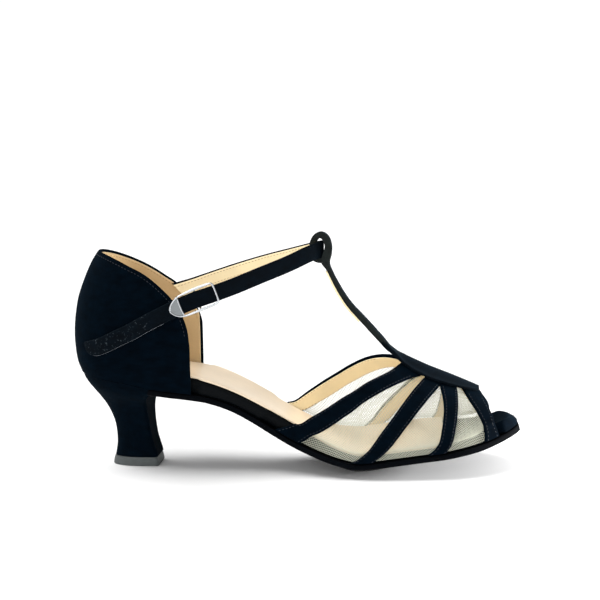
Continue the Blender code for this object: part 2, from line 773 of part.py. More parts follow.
def build_sole():
    leather = finish("outsole_leather", (0.030, 0.030, 0.032), 0.75)
    wrap = finish("board_wrap", (0.012, 0.013, 0.016), 0.55)
    lining = finish("sock_leather", (0.80, 0.68, 0.50), 0.50)
    tread = sole_plate(
        "outsole", HEEL_BREAST + 0.003, 0.9985, lambda x: 0, lambda x: 0, lambda x: OUTSOLE, leather
    )
    one_floor_face(tread)
    sole_plate(
        "insole_board", 0.0125, 0.994, tucked,
        lambda x: OUTSOLE + GAP, lambda x: OUTSOLE + board(x) - GAP, wrap,
    )
    sole_plate(
        "sock", 0.0180, 0.835, lambda x: tucked(x) + 0.0006,
        lambda x: OUTSOLE + board(x), lambda x: OUTSOLE + board(x) + SOCK, lining,
    )


def build_heel():
    cover = finish("heel_cover", (0.012, 0.013, 0.016), 0.60)
    rubber = finish("tip_rubber", (0.10, 0.105, 0.105), 0.60)
    rings = []
    for row in HEEL:
        rings.append(
            heel_ring(
                row.back * HEEL_HEIGHT, row.breast * HEEL_HEIGHT, row.width * HEEL_HEIGHT,
                lambda share, row=row: heel_level(row, share),
            )
        )
    seat = heel_ring(x_of(0), x_of(HEEL_BREAST), BALL_WIDTH * SOLE[0].lateral, lambda share: 0)
    rings.append([sole_point(p.x, p.y, OUTSOLE) for p in seat])
    column_of_rings("heel", rings, cover)
    tips = []
    for back, breast, width, z in (
        (TIP_BACK, TIP_BREAST, TIP_WIDTH, 0.0),
        (TIP_BACK, TIP_BREAST, TIP_WIDTH, 0.0006),
        (TIP_BACK * 0.94, TIP_BREAST * 0.95, TIP_WIDTH * 0.985, TIP_HEIGHT),
    ):
        tips.append(heel_ring(back * HEEL_HEIGHT, breast * HEEL_HEIGHT, width * HEEL_HEIGHT, lambda share, z=z: z))
    one_floor_face(column_of_rings("heel_tip", tips, rubber))


def build_quarter():
    suede = finish("quarter_suede", (0.010, 0.011, 0.014), 0.95)
    shares = [(1 - math.cos(math.pi / 2 * k / 9)) * 0.36 for k in range(10)]
    shares += [0.43, 0.51, 0.60, 0.69, 0.77, 0.84, 0.90, 0.94, 0.965, 0.985, 1.0]
    columns = [(-1, share) for share in shares[:0:-1]] + [(1, share) for share in shares]
    outer, inner = [], []
    for side, share in columns:
        along = share * QUARTER_END
        x0 = x_of(along)
        seat = underside(x0) + OUTSOLE + GAP
        top = collar_point(along, side).z
        heights = [seat + (top - seat) * k / 8 for k in range(9)]
        outer.append([quarter_point(along, side, z) for z in heights])
        inner.append([quarter_point(along, side, z, QUARTER_WALL) for z in heights])
    slab("upper_quarter", outer, inner, suede)


def build_vamp():
    suede = finish("vamp_suede", (0.010, 0.011, 0.014), 0.95)
    net = finish("net", (0.72, 0.64, 0.52), 0.70)
    lasted_straps("upper_vamp", suede)
    outer, inner = [], []
    for k in range(21):
        girth = k / 10 - 1
        first = INNER_FIRST if girth > 0 else OUTER_FIRST
        rear, front = mid(first, girth), mid(TOE_STRAP, girth)
        xs = [x_of(rear + (front - rear) * i / 19) for i in range(20)]
        outer.append([vamp_point(x, girth, MESH_WALL) for x in xs])
        inner.append([vamp_point(x, girth, 0.0) for x in xs])
    slab("vamp_mesh", outer, inner, net)


def build_t_strap():
    suede = finish("t_strap_suede", (0.010, 0.011, 0.014), 0.95)
    spots = spread(-1, 1, 5, 0.2)
    tops, bottoms = [[] for _ in spots], [[] for _ in spots]
    centres = [shared(row) for row in T_STRAP]
    for k, (row, centre) in enumerate(zip(T_STRAP, centres)):
        after = centres[k + 1] if k + 1 < len(centres) else centre * 2 - centres[k - 1]
        before = centres[k - 1] if k else centre * 2 - centres[1]
        along = (after - before).normalized()
        out = along.cross(Vector((0, 1, 0))).normalized()
        for spot, top, bottom in zip(spots, tops, bottoms):
            point = centre + Vector((0, 1, 0)) * spot * row.width * TBAR_WIDTH / 2
            top.append(point + out * BAR_THICK * 0.58)
            bottom.append(point - out * BAR_THICK * 0.58)
    for row in BAR:
        for spot, top, bottom in zip(spots, tops, bottoms):
            top.append(vamp_point(x_of(row.along), spot * row.girth, BAR_LIFT + BAR_PLATE))
            bottom.append(vamp_point(x_of(row.along), spot * row.girth, BAR_LIFT))
    slab("t_strap", [smooth_path(top, 2) for top in tops], [smooth_path(low, 2) for low in bottoms], suede)


def build_ankle_strap():
    suede = finish("strap_suede", (0.010, 0.011, 0.014), 0.95)
    metal = finish("buckle_metal", (0.80, 0.81, 0.83), 0.22, 1.0)
    plain = finish("bar_metal", (0.70, 0.71, 0.72), 0.30, 1.0)
    tab_suede = finish("tab_suede", (0.012, 0.013, 0.016), 0.90)
    outer, inner = ribbon_rows(*ankle_path(), STRAP_THICK, 4)
    slab("ankle_strap", outer, inner, suede)

    axes = buckle_frame_axes()
    low = STRAP_THICK / 2 + 1.2 * GAP
    scaled = [(row.along, row.across) for row in BUCKLE_OUTLINE]
    rim = [Vector((*p, 0)) for p in scaled]
    window = [Vector((row.along, row.across, 0)) for row in BUCKLE_WINDOW]
    frame = prism("frame_blank", [(p.x * STRAP_WIDTH, p.y * STRAP_WIDTH) for p in rim], 0, FRAME_THICK)
    cut = prism("window", [(p.x * STRAP_WIDTH, p.y * STRAP_WIDTH) for p in window], -0.01, 0.01)
    boolean(frame, "DIFFERENCE", cut)
    bevel = frame.modifiers.new("Bevel", "BEVEL")
    bevel.width, bevel.segments, bevel.limit_method = 0.00025, 1, "ANGLE"
    bevel.angle_limit = math.radians(60)
    mesh = baked(frame)
    drop(frame, cut)
    middle, along, across, outward = axes
    for vert in mesh.vertices:
        vert.co = middle + along * vert.co.x + across * vert.co.y + outward * (low + vert.co.z)
    mesh.materials.clear()
    mesh.materials.append(metal)
    made = bpy.data.objects.new("buckle_frame", mesh)
    bpy.context.scene.collection.objects.link(made)

    curve = bpy.data.curves.new("buckle_bar", "CURVE")
    curve.dimensions, curve.bevel_depth, curve.bevel_resolution = "3D", BAR_RADIUS, 1
    curve.use_fill_caps = True
    spline = curve.splines.new("POLY")
    ends = [on_buckle(axes, row, low - GAP) for row in (BUCKLE_BAR[0], BUCKLE_BAR[-1])]
    inner_rows = [on_buckle(axes, row, row.out * STRAP_WIDTH) for row in BUCKLE_BAR[1:-1]]
    path = smooth_path([ends[0], *inner_rows, ends[1]], 2)
    spline.points.add(len(path) - 1)
    for spot, point in zip(spline.points, path):
        spot.co = (*point, 1)
    curve.materials.append(plain)
    made = bpy.data.objects.new("buckle_bar", curve)
    bpy.context.scene.collection.objects.link(made)

    centres, outs = [], []
    for share, height in ((0.203, 1.590), (0.216, 1.614)):
        z = height * HEEL_HEIGHT
        centres.append(quarter_point(share, -1, z, -(2.2 * GAP + TAB_THICK / 2)))
        outs.append((centres[-1] - quarter_point(share, -1, z)).normalized())
    centres += [on_buckle(axes, row, row.out * STRAP_WIDTH) for row in BUCKLE_TAB]
    grids = tab_grids(axes, centres, outs)
    slab("buckle_tab", *grids, tab_suede)


def tab_grids(axes, centres, outs):
    """Outer and inner faces of the tab, which turns round the buckle's bar."""
    across = axes[2]
    path = smooth_path(centres, 4)
    outer, inner = [], []
    for k, centre in enumerate(path):
        along = (path[min(k + 1, len(path) - 1)] - path[max(k - 1, 0)]).normalized()
        out = along.cross(across).normalized()
        side = out.cross(along).normalized() * -1
        edges = [centre + side * TAB_WIDTH / 2, centre - side * TAB_WIDTH / 2]
        outer.append([edge + out * TAB_THICK / 2 for edge in edges])
        inner.append([edge - out * TAB_THICK / 2 for edge in edges])
    return outer, inner


clear_scene()
build_sole()
build_heel()
build_quarter()
build_vamp()
build_t_strap()
build_ankle_strap()
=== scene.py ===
"""A ballroom dance shoe for the right foot, dressed in suede, lining, net, thread and metal.

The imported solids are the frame. Each class holds the sizes of one sub-assembly, builds
its meshes and gives them their finish. Lengths are in metres; +X points to the toe,
+Y to the inner side of the foot and +Z up.
"""

import logging  # noqa: E402
import math  # noqa: E402
from collections.abc import Callable, Sequence  # noqa: E402
from dataclasses import dataclass, field  # noqa: E402
from enum import Enum  # noqa: E402
from typing import NamedTuple  # noqa: E402

import bmesh  # noqa: E402
import bpy  # noqa: E402
from mathutils import Matrix, Vector  # noqa: E402


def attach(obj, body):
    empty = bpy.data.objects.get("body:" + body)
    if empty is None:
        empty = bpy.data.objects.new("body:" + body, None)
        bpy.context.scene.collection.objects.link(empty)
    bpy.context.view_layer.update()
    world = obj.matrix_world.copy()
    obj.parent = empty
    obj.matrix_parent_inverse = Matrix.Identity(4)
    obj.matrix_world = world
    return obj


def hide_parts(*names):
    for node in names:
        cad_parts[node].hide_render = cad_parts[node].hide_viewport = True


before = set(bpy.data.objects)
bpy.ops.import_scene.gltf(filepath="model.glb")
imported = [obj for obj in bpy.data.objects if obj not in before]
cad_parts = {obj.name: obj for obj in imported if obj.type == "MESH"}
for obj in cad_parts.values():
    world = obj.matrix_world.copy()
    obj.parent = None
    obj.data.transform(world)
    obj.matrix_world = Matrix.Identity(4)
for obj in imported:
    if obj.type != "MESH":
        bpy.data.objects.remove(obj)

log = logging.getLogger("dance_shoe")

Triple = tuple[float, float, float]
Colour = Triple
Span = tuple[float, float]
Ring = list[Vector]
Lines = Sequence[Sequence[Vector]]
GAP = 0.0003  # clearance between neighbouring pieces
SIDES = (-1, 1)  # the outer and the inner side of the foot, as the sign of Y
ACROSS = Vector((0, 1, 0))
UP = Vector((0, 0, 1))


class Slot(Enum):
    """The record's material slots."""

    SUEDE = "black_suede"
    HEEL = "heel_suede"
    WRAP = "board_wrap"
    TREAD = "outsole_suede"
    SOCK = "sock_leather"
    NET = "net_beige"
    METAL = "buckle_silver"
    RUBBER = "tip_rubber"


# Tables of sections, as shares of the last's sizes


class SoleRow(NamedTuple):
    """One section of the sole."""

    along: float
    lateral: float
    medial: float
    height: float
    crown: float
    board: float


class RidgeRow(NamedTuple):
    """One point of the ridge line over the forefoot."""

    along: float
    height: float
    offset: float


class BackRow(NamedTuple):
    """The counter's lean and width at one level."""

    rise: float
    lean: float
    width: float


class CollarRow(NamedTuple):
    """The collar's height on both sides."""

    along: float
    lateral: float
    medial: float


class HeelRow(NamedTuple):
    """One level of the heel."""

    rise: float
    dip: float
    back: float
    breast: float
    width: float


class StrapRow(NamedTuple):
    """Rear and front edge of a forefoot strap at one share of the girth."""

    girth: float
    rear: float
    front: float


class BarRow(NamedTuple):
    """Half-width of the T-bar where it lies on the straps."""

    along: float
    girth: float


class PathRow(NamedTuple):
    """One row of a free strap's path."""

    along: float
    across: float
    height: float
    width: float = 1.0
    skew: float = 0.0


class TailRow(NamedTuple):
    """One row of the strap's end, laid along the counter."""

    along: float
    height: float
    lift: float
    width: float = 1.0
    skew: float = 0.0


class PlanRow(NamedTuple):
    """A point of the buckle's plan, as shares of the strap's width."""

    along: float
    across: float


def rows(kind: type, *values: tuple[float, ...]) -> tuple:
    """Rows of one kind from plain numbers."""
    return tuple(kind(*row) for row in values)


def strap(*edges: Span) -> tuple[StrapRow, ...]:
    """A forefoot strap from its rear and front edges at the shared girths."""
    return tuple(StrapRow(girth, *pair) for girth, pair in zip(GIRTHS, edges))


GIRTHS = (0.0, 0.20, 0.35, 0.50, 0.65, 0.80, 0.90, 1.0)
SOLE = rows(
    SoleRow,
    (0.0, 0.326, 0.326, 0.942, 0.0, 0.58), (0.056, 0.326, 0.326, 0.905, 0.0, 0.77),
    (0.12, 0.326, 0.326, 0.86, 0.0, 0.91), (0.167, 0.326, 0.324, 0.808, 0.0, 0.98),
    (0.21, 0.322, 0.316, 0.777, 0.0, 1.0), (0.266, 0.314, 0.298, 0.744, 0.0, 1.0),
    (0.302, 0.306, 0.274, 0.702, 0.008, 0.92), (0.351, 0.294, 0.244, 0.612, 0.016, 0.84),
    (0.396, 0.288, 0.226, 0.496, 0.02, 0.86), (0.44, 0.298, 0.22, 0.366, 0.026, 0.92),
    (0.485, 0.33, 0.222, 0.245, 0.034, 0.93), (0.531, 0.38, 0.272, 0.144, 0.045, 0.78),
    (0.574, 0.42, 0.366, 0.063, 0.056, 0.66), (0.604, 0.444, 0.427, 0.022, 0.062, 0.63),
    (0.634, 0.46, 0.478, 0.0, 0.064, 0.6), (0.664, 0.468, 0.514, 0.009, 0.064, 0.57),
    (0.707, 0.47, 0.543, 0.037, 0.063, 0.51), (0.771, 0.46, 0.552, 0.081, 0.059, 0.49),
    (0.835, 0.432, 0.52, 0.122, 0.053, 0.5), (0.902, 0.382, 0.446, 0.197, 0.042, 0.58),
    (0.946, 0.335, 0.395, 0.273, 0.03, 0.8), (1.0, 0.27, 0.33, 0.374, 0.02, 0.8),
)
RIDGE = rows(
    RidgeRow,
    (0.4, 0.97, 0.0), (0.55, 0.96, 0.0), (0.6, 0.93, 0.01), (0.64, 0.885, 0.02), (0.69, 0.812, 0.03),
    (0.737, 0.732, 0.04), (0.79, 0.654, 0.04), (0.842, 0.589, 0.04), (0.905, 0.505, 0.03), (0.95, 0.44, 0.02),
    (1.0, 0.37, 0.0),
)
BACK = rows(
    BackRow,
    (-0.2, 0.0, 1.0), (0.0, 0.0, 1.0), (0.08, -0.03, 1.02), (0.2, -0.047, 1.045), (0.34, -0.051, 1.05),
    (0.48, -0.038, 1.03), (0.62, -0.011, 0.99), (0.74, 0.031, 0.94), (0.84, 0.073, 0.89), (0.92, 0.114, 0.84),
    (1.0, 0.167, 0.78),
)
COLLAR = rows(
    CollarRow,
    (0.045, 1.0, 1.0), (0.06, 0.985, 0.98), (0.082, 0.96, 0.946), (0.11, 0.918, 0.898), (0.133, 0.876, 0.856),
    (0.157, 0.832, 0.806), (0.18, 0.776, 0.75), (0.203, 0.705, 0.693), (0.229, 0.61, 0.602),
    (0.246, 0.52, 0.515), (0.256, 0.44, 0.44), (0.263, 0.35, 0.35), (0.2665, 0.23, 0.23),
)
HEEL = rows(
    HeelRow,
    (0.103, 0.0, -0.246, 0.224, 0.172), (0.15, 0.0, -0.237, 0.213, 0.171), (0.215, 0.0, -0.227, 0.194, 0.172),
    (0.285, 0.0, -0.224, 0.174, 0.175), (0.355, 0.0, -0.227, 0.162, 0.18), (0.43, 0.0, -0.238, 0.151, 0.19),
    (0.51, 0.0, -0.26, 0.142, 0.208), (0.59, 0.005, -0.294, 0.137, 0.238), (0.665, 0.018, -0.335, 0.139, 0.277),
    (0.735, 0.042, -0.383, 0.146, 0.326), (0.805, 0.075, -0.435, 0.158, 0.384),
    (0.87, 0.1, -0.484, 0.172, 0.436), (0.935, 0.118, -0.53, 0.184, 0.475),
)
OUTER_FIRST = strap(
    (0.742, 0.815), (0.703, 0.748), (0.642, 0.691), (0.574, 0.626), (0.521, 0.569), (0.488, 0.531),
    (0.468, 0.518), (0.446, 0.505),
)
INNER_FIRST = strap(
    (0.742, 0.8), (0.659, 0.715), (0.595, 0.653), (0.528, 0.584), (0.481, 0.527), (0.451, 0.491),
    (0.437, 0.478), (0.425, 0.47),
)
SECOND = strap(
    (0.802, 0.84), (0.771, 0.812), (0.745, 0.787), (0.718, 0.761), (0.69, 0.735), (0.666, 0.712), (0.65, 0.698),
    (0.621, 0.673),
)
THIRD = strap(
    (0.806, 0.85), (0.8185, 0.8565), (0.8252, 0.858), (0.8247, 0.8565), (0.821, 0.853), (0.816, 0.849),
    (0.808, 0.843), (0.79, 0.829),
)
TOE_STRAP = strap(
    (0.855, 0.902), (0.8775, 0.9175), (0.896, 0.931), (0.91, 0.9405), (0.9195, 0.9455), (0.9225, 0.9475),
    (0.922, 0.948), (0.914, 0.9465),
)
BAR = rows(
    BarRow,
    (0.735, 0.116), (0.755, 0.136), (0.79, 0.155), (0.83, 0.158), (0.866, 0.142), (0.89, 0.114), (0.9, 0.088),
)
T_STRAP = rows(
    PathRow,
    (0.5605, 0.0, 2.112, 0.8), (0.549, 0.0, 2.106, 0.7), (0.5387, 0.0, 2.13, 0.56), (0.5337, 0.0, 2.195, 0.54),
    (0.5335, 0.0, 2.29, 0.54), (0.5415, 0.0, 2.362, 0.8), (0.5535, 0.0, 2.386), (0.5655, 0.0, 2.352),
    (0.5725, 0.0, 2.27), (0.5715, 0.0, 2.18), (0.5675, 0.0, 2.1), (0.5715, 0.0, 2.02), (0.5895, 0.0, 1.852),
    (0.614, 0.002, 1.67), (0.6495, 0.006, 1.482, 1.02), (0.685, 0.014, 1.302, 1.1), (0.709, 0.024, 1.19, 1.25),
)
ANKLE = rows(
    PathRow,
    (0.212, 0.2665, 1.764, 1.3, 0.45), (0.2253, 0.274, 1.784, 1.26, 0.45), (0.257, 0.288, 1.838, 1.08, 0.2),
    (0.292, 0.284, 1.897, 1.0, 0.05), (0.355, 0.262, 1.99), (0.42, 0.215, 2.078), (0.48, 0.15, 2.15),
    (0.525, 0.088, 2.205), (0.546, 0.042, 2.23), (0.555, 0.0, 2.24), (0.546, -0.042, 2.224),
    (0.525, -0.088, 2.19), (0.48, -0.15, 2.099), (0.42, -0.226, 1.995), (0.37, -0.283, 1.907),
    (0.325, -0.324, 1.836), (0.28, -0.348, 1.77), (0.245, -0.357, 1.703),
)
TAIL = rows(
    TailRow,
    (0.205, 1.608, 0.36), (0.18, 1.551, 0.3), (0.16, 1.499, 0.22), (0.14, 1.446, 0.16), (0.119, 1.4, 0.16),
    (0.098, 1.348, 0.16), (0.079, 1.308, 0.16), (0.062, 1.288, 0.16, 0.92, -0.35),
    (0.053, 1.29, 0.16, 0.66, -0.7), (0.049, 1.3, 0.16, 0.36, -0.9),
)
BUCKLE_OUTLINE = rows(
    PlanRow,
    (-1.68, -0.07), (-1.6, 0.14), (-1.45, 0.32), (-1.24, 0.48), (-0.98, 0.59), (-0.6, 0.66), (0.1, 0.715),
    (0.7, 0.725), (1.13, 0.69), (1.27, 0.62), (1.33, 0.47), (1.35, 0.0), (1.33, -0.48), (1.27, -0.63),
    (1.13, -0.7), (0.7, -0.735), (0.1, -0.735), (-0.6, -0.735), (-1.0, -0.7), (-1.26, -0.6), (-1.47, -0.44),
    (-1.62, -0.26),
)
BUCKLE_WINDOW = rows(
    PlanRow,
    (-0.93, 0.42), (-0.86, 0.52), (0.2, 0.56), (1.08, 0.57), (1.19, 0.5), (1.23, 0.0), (1.2, -0.46),
    (1.1, -0.56), (0.2, -0.58), (-0.8, -0.59), (-0.9, -0.5), (-0.94, 0.0),
)
BUCKLE_AT = 0.2826


class Table:
    """Smooth curves through the columns of a short table."""

    def __init__(self, rows: Sequence[tuple]) -> None:
        """Reads the rows.

        Args:
            rows: Named tuples whose first value is the position, rising.
        """
        self.places = [row[0] for row in rows]
        self.columns = {name: [getattr(row, name) for row in rows] for name in rows[0]._fields}
        self.known: dict[tuple[str, float], float] = {}

    def at(self, column: str, place: float) -> float:
        """Value of a column.

        Args:
            column: The column's name.
            place: Position; outside the table its end value holds.

        Returns:
            The smooth curve's value.
        """
        key = (column, round(place, 7))
        if key not in self.known:
            self.known[key] = self._curve(self.columns[column], place)
        return self.known[key]

    def _curve(self, values: list[float], place: float) -> float:
        """The cubic through the rows round a place.

        Args:
            values: The column's values.
            place: Position.

        Returns:
            The value there.
        """
        xs = self.places
        place = min(max(place, xs[0]), xs[-1])
        i = 0
        while i < len(xs) - 2 and place > xs[i + 1]:
            i += 1
        slopes = []
        for k in (i, i + 1):
            low, high = max(k - 1, 0), min(k + 1, len(xs) - 1)
            slopes.append((values[high] - values[low]) / (xs[high] - xs[low]))
        span = xs[i + 1] - xs[i]
        t = (place - xs[i]) / span
        return (
            (2 * t**3 - 3 * t**2 + 1) * values[i]
            + (t**3 - 2 * t**2 + t) * slopes[0] * span
            + (3 * t**2 - 2 * t**3) * values[i + 1]
            + (t**3 - t**2) * slopes[1] * span
        )


def ease(low: float, high: float, at: float) -> float:
    """0 before `low`, 1 after `high`, smooth between."""
    t = min(max((at - low) / (high - low), 0), 1)
    return t * t * (3 - 2 * t)


def smooth_path(points: Sequence[Vector], steps: int, closed: bool = False) -> list[Vector]:
    """Points on a smooth curve through the given ones.

    Args:
        points: The points to pass through.
        steps: New points for each span.
        closed: Whether the curve returns to its start.

    Returns:
        The curve's points.
    """
    if closed:
        ends = [points[-1], *points, points[0], points[1]]
    else:
        ends = [points[0] * 2 - points[1], *points, points[-1] * 2 - points[-2]]
    found = []
    for a, b, c, d in zip(ends, ends[1:], ends[2:], ends[3:]):
        for k in range(steps):
            t = k / steps
            found.append(
                (b * 2 + (c - a) * t + (a * 2 - b * 5 + c * 4 - d) * t**2 + (b * 3 - a - c * 3 + d) * t**3) / 2
            )
    return found if closed else [*found, points[-1]]


def section(columns: int, low: float, high: float, edge: float, crown: float = 0.0) -> list[tuple[float, float]]:
    """Closed section of a strip with rounded edges.

    Args:
        columns: Points across each face.
        low: Level of the lower face.
        high: Level of the upper face.
        edge: Share of the half-width that each edge rounds over.
        crown: How much the upper face swells in its middle.

    Returns:
        Pairs of the place across, from -1 to 1, and the level.
    """
    across = [(-1 + 2 * k / (columns - 1)) * (1 - edge) for k in range(columns)]
    middle, half = (low + high) / 2, (high - low) / 2
    turn = [math.pi / 2 * (1 - k / 3) for k in range(1, 6)]
    ring = [(t, high + crown * (1 - t * t)) for t in across]
    ring += [(1 - edge + edge * math.cos(a), middle + half * math.sin(a)) for a in turn]
    ring += [(t, low) for t in reversed(across)]
    ring += [(-1 + edge - edge * math.cos(a), middle - half * math.sin(a)) for a in turn]
    return ring


@dataclass
class Last:
    """The shoe's inner form: the sole's line and the surfaces that the upper lies on."""

    sole_length: float = 0.2335
    ball_width: float = 0.0785
    heel_height: float = 0.0515
    counter_height: float = 0.0648
    vamp_height: float = 0.0740
    heel_setback: float = 0.0290
    outsole: float = 0.0030
    board_thick: float = 0.0086
    sock: float = 0.0009
    wall: float = 0.0022
    tread_flat: float = 0.0011
    tread_reach: float = 0.0060
    heel_round: float = 0.118
    toe_round: float = 0.180
    round_power: float = 2.15
    arch_power: float = 1.22
    wall_power: float = 1.38
    wall_share: float = 0.13
    quarter_end: float = 0.2665
    heel_breast: float = 0.1660
    girth_power: float = 0.75
    collar_search: Span = (0.9, 1.1)
    halvings: int = 24
    step: float = 0.0015
    step_share: float = 0.0015
    step_level: float = 0.0005
    step_girth: float = 0.02
    step_along: float = 0.0008
    plan: Table = field(default_factory=lambda: Table(SOLE))
    ridge: Table = field(default_factory=lambda: Table(RIDGE))
    back: Table = field(default_factory=lambda: Table(BACK))
    collar: Table = field(default_factory=lambda: Table(COLLAR))

    def along_of(self, x: float) -> float:
        """Share of the sole's length at x."""
        return (x + self.heel_setback) / self.sole_length

    def x_of(self, along: float) -> float:
        """X at a share of the sole's length."""
        return along * self.sole_length - self.heel_setback

    def full_width(self, x: float, side: int) -> float:
        """Half-width before the ends are rounded."""
        return self.plan.at("lateral" if side < 0 else "medial", self.along_of(x)) * self.ball_width

    def outline(self, x: float, side: int, inset: float = 0.0) -> float:
        """Half-width of the sole's outline.

        Args:
            x: Place along the sole.
            side: Sign of Y.
            inset: How far the outline is drawn in all round.

        Returns:
            The half-width.
        """
        along = self.along_of(x)
        trim = inset / self.sole_length
        near = min((along - trim) / self.heel_round, (1 - trim - along) / self.toe_round, 1)
        left = (1 - (1 - max(near, 0)) ** self.round_power) ** (1 / self.round_power)
        return (self.full_width(x, side) - inset) * left

    def underside(self, x: float) -> float:
        """Height of the sole's underside along its middle."""
        return self.plan.at("height", self.along_of(x)) * self.heel_height

    def board(self, x: float) -> float:
        """Thickness of the board."""
        return self.plan.at("board", self.along_of(x)) * self.board_thick

    def sole_point(self, x: float, y: float, lift: float) -> Vector:
        """A point of the sole.

        Args:
            x: Place along the sole.
            y: Place across it.
            lift: Distance above the underside, square to its line.

        Returns:
            The point.
        """
        side = -1 if y < 0 else 1
        crown = self.plan.at("crown", self.along_of(x)) * self.ball_width
        angle = math.atan2(self.underside(x + self.step) - self.underside(x - self.step), 2 * self.step)
        z = self.underside(x) + crown * (y / self.full_width(x, side)) ** 2
        z -= self.tread_flat * (1 - ease(0, self.tread_reach, z))
        return Vector((x - lift * math.sin(angle), y, max(z + lift * math.cos(angle), 0)))

    def _counter_face(self, at: float, side: int, height: float) -> Vector:
        """A point of the counter's outer face.

        Args:
            at: Share of the sole's length.
            side: Sign of Y.
            height: Z.

        Returns:
            The point.
        """
        x0 = self.x_of(at)
        rise = (height - self.underside(x0) - self.outsole) / self.counter_height
        front = 1 - ease(0, self.quarter_end, at)
        lean = self.back.at("lean", rise) * self.counter_height * front
        return Vector((x0 + lean, side * self.outline(x0, side) * self.back.at("width", rise), height))

    def quarter_point(self, along: float, side: int, z: float, depth: float = 0.0) -> Vector:
        """A point of the counter.

        Args:
            along: Share of the sole's length.
            side: Sign of Y.
            z: Height.
            depth: Distance inside the outer face.

        Returns:
            The point.
        """
        step, level = self.step_share, self.step_level
        across = self._counter_face(along + step, side, z) - self._counter_face(max(along - step, 0.0), side, z)
        if along < step:
            across = ACROSS * side
        up = self._counter_face(along, side, z + level) - self._counter_face(along, side, z - level)
        normal = up.cross(across).normalized() * side
        return self._counter_face(along, side, z) - normal * depth

    def collar_point(self, along: float, side: int, drop: float = 0.0, depth: float = 0.0) -> Vector:
        """Where the counter's face at a place reaches the collar.

        Args:
            along: Share of the sole's length.
            side: Sign of Y.
            drop: Distance below the collar.
            depth: Distance inside the outer face.

        Returns:
            The point.
        """
        column = "lateral" if side < 0 else "medial"
        under, over = self.collar_search
        low, high = self.heel_height * under, self.heel_height + self.counter_height * over
        for _ in range(self.halvings):
            z = (low + high) / 2
            x = self._counter_face(along, side, z).x
            if z < self.heel_height + self.collar.at(column, self.along_of(x)) * self.counter_height:
                low = z
            else:
                high = z
        return self.quarter_point(along, side, low - drop, depth)

    def _vamp_face(self, at: float, t: float) -> Vector:
        """A point of the form under the forefoot's straps.

        Args:
            at: Place along the sole.
            t: Girth, from -1 to 1.

        Returns:
            The point.
        """
        side = -1 if t < 0 else 1
        reach = self.outline(at, side, self.wall + GAP)
        foot = self.sole_point(at, side * self.outline(at, side), self.outsole + 1.5 * GAP)
        foot.y = side * reach
        brim = self.sole_point(at, side * reach, self.outsole + self.board(at) + self.sock)
        share = (1 - abs(t)) / self.wall_share
        if share < 1:
            return foot + (brim - foot) * share
        ridge = self.ridge.at("height", self.along_of(at)) * self.vamp_height
        middle = self.ridge.at("offset", self.along_of(at)) * self.ball_width
        angle = math.pi / 2 * (1 - (abs(t) / (1 - self.wall_share)) ** self.girth_power)
        out = max(math.cos(angle), 0) ** (2 / self.arch_power)
        up = math.sin(angle) ** (2 / self.wall_power)
        return Vector((brim.x + (at - brim.x) * up, middle + (brim.y - middle) * out, brim.z + (ridge - brim.z) * up))

    def vamp_point(self, x: float, girth: float, lift: float = 0.0) -> Vector:
        """A point over the forefoot.

        Args:
            x: Place along the sole.
            girth: -1 at the outer side of the sole, 0 on the ridge, 1 at the inner side.
            lift: Distance above the form.

        Returns:
            The point.
        """
        turn, run = self.step_girth, self.step_along
        across = self._vamp_face(x, min(girth + turn, 1)) - self._vamp_face(x, max(girth - turn, -1))
        forward = self._vamp_face(x + run, girth) - self._vamp_face(x - run, girth)
        return self._vamp_face(x, girth) + forward.cross(across).normalized() * lift

    def shared(self, row: PathRow) -> Vector:
        """The point that a path's row names."""
        return Vector((self.x_of(row.along), row.across * self.ball_width, row.height * self.heel_height))


# Node graphs


@dataclass(frozen=True)
class Wire:
    """One output of a node graph, with Python's own arithmetic."""

    graph: "Graph"
    socket: bpy.types.NodeSocket

    def _math(self, operation: str, *values: "Wire | float") -> "Wire":
        """Adds one Math node."""
        return self.graph.node("ShaderNodeMath", {"operation": operation}, dict(enumerate(values)))

    def __add__(self, other: "Wire | float") -> "Wire":
        """Sum."""
        return self._math("ADD", self, other)

    def __radd__(self, other: float) -> "Wire":
        """Sum with a number first."""
        return self._math("ADD", other, self)

    def __mul__(self, other: "Wire | float") -> "Wire":
        """Product."""
        return self._math("MULTIPLY", self, other)

    def __rmul__(self, other: float) -> "Wire":
        """Product with a number first."""
        return self._math("MULTIPLY", other, self)


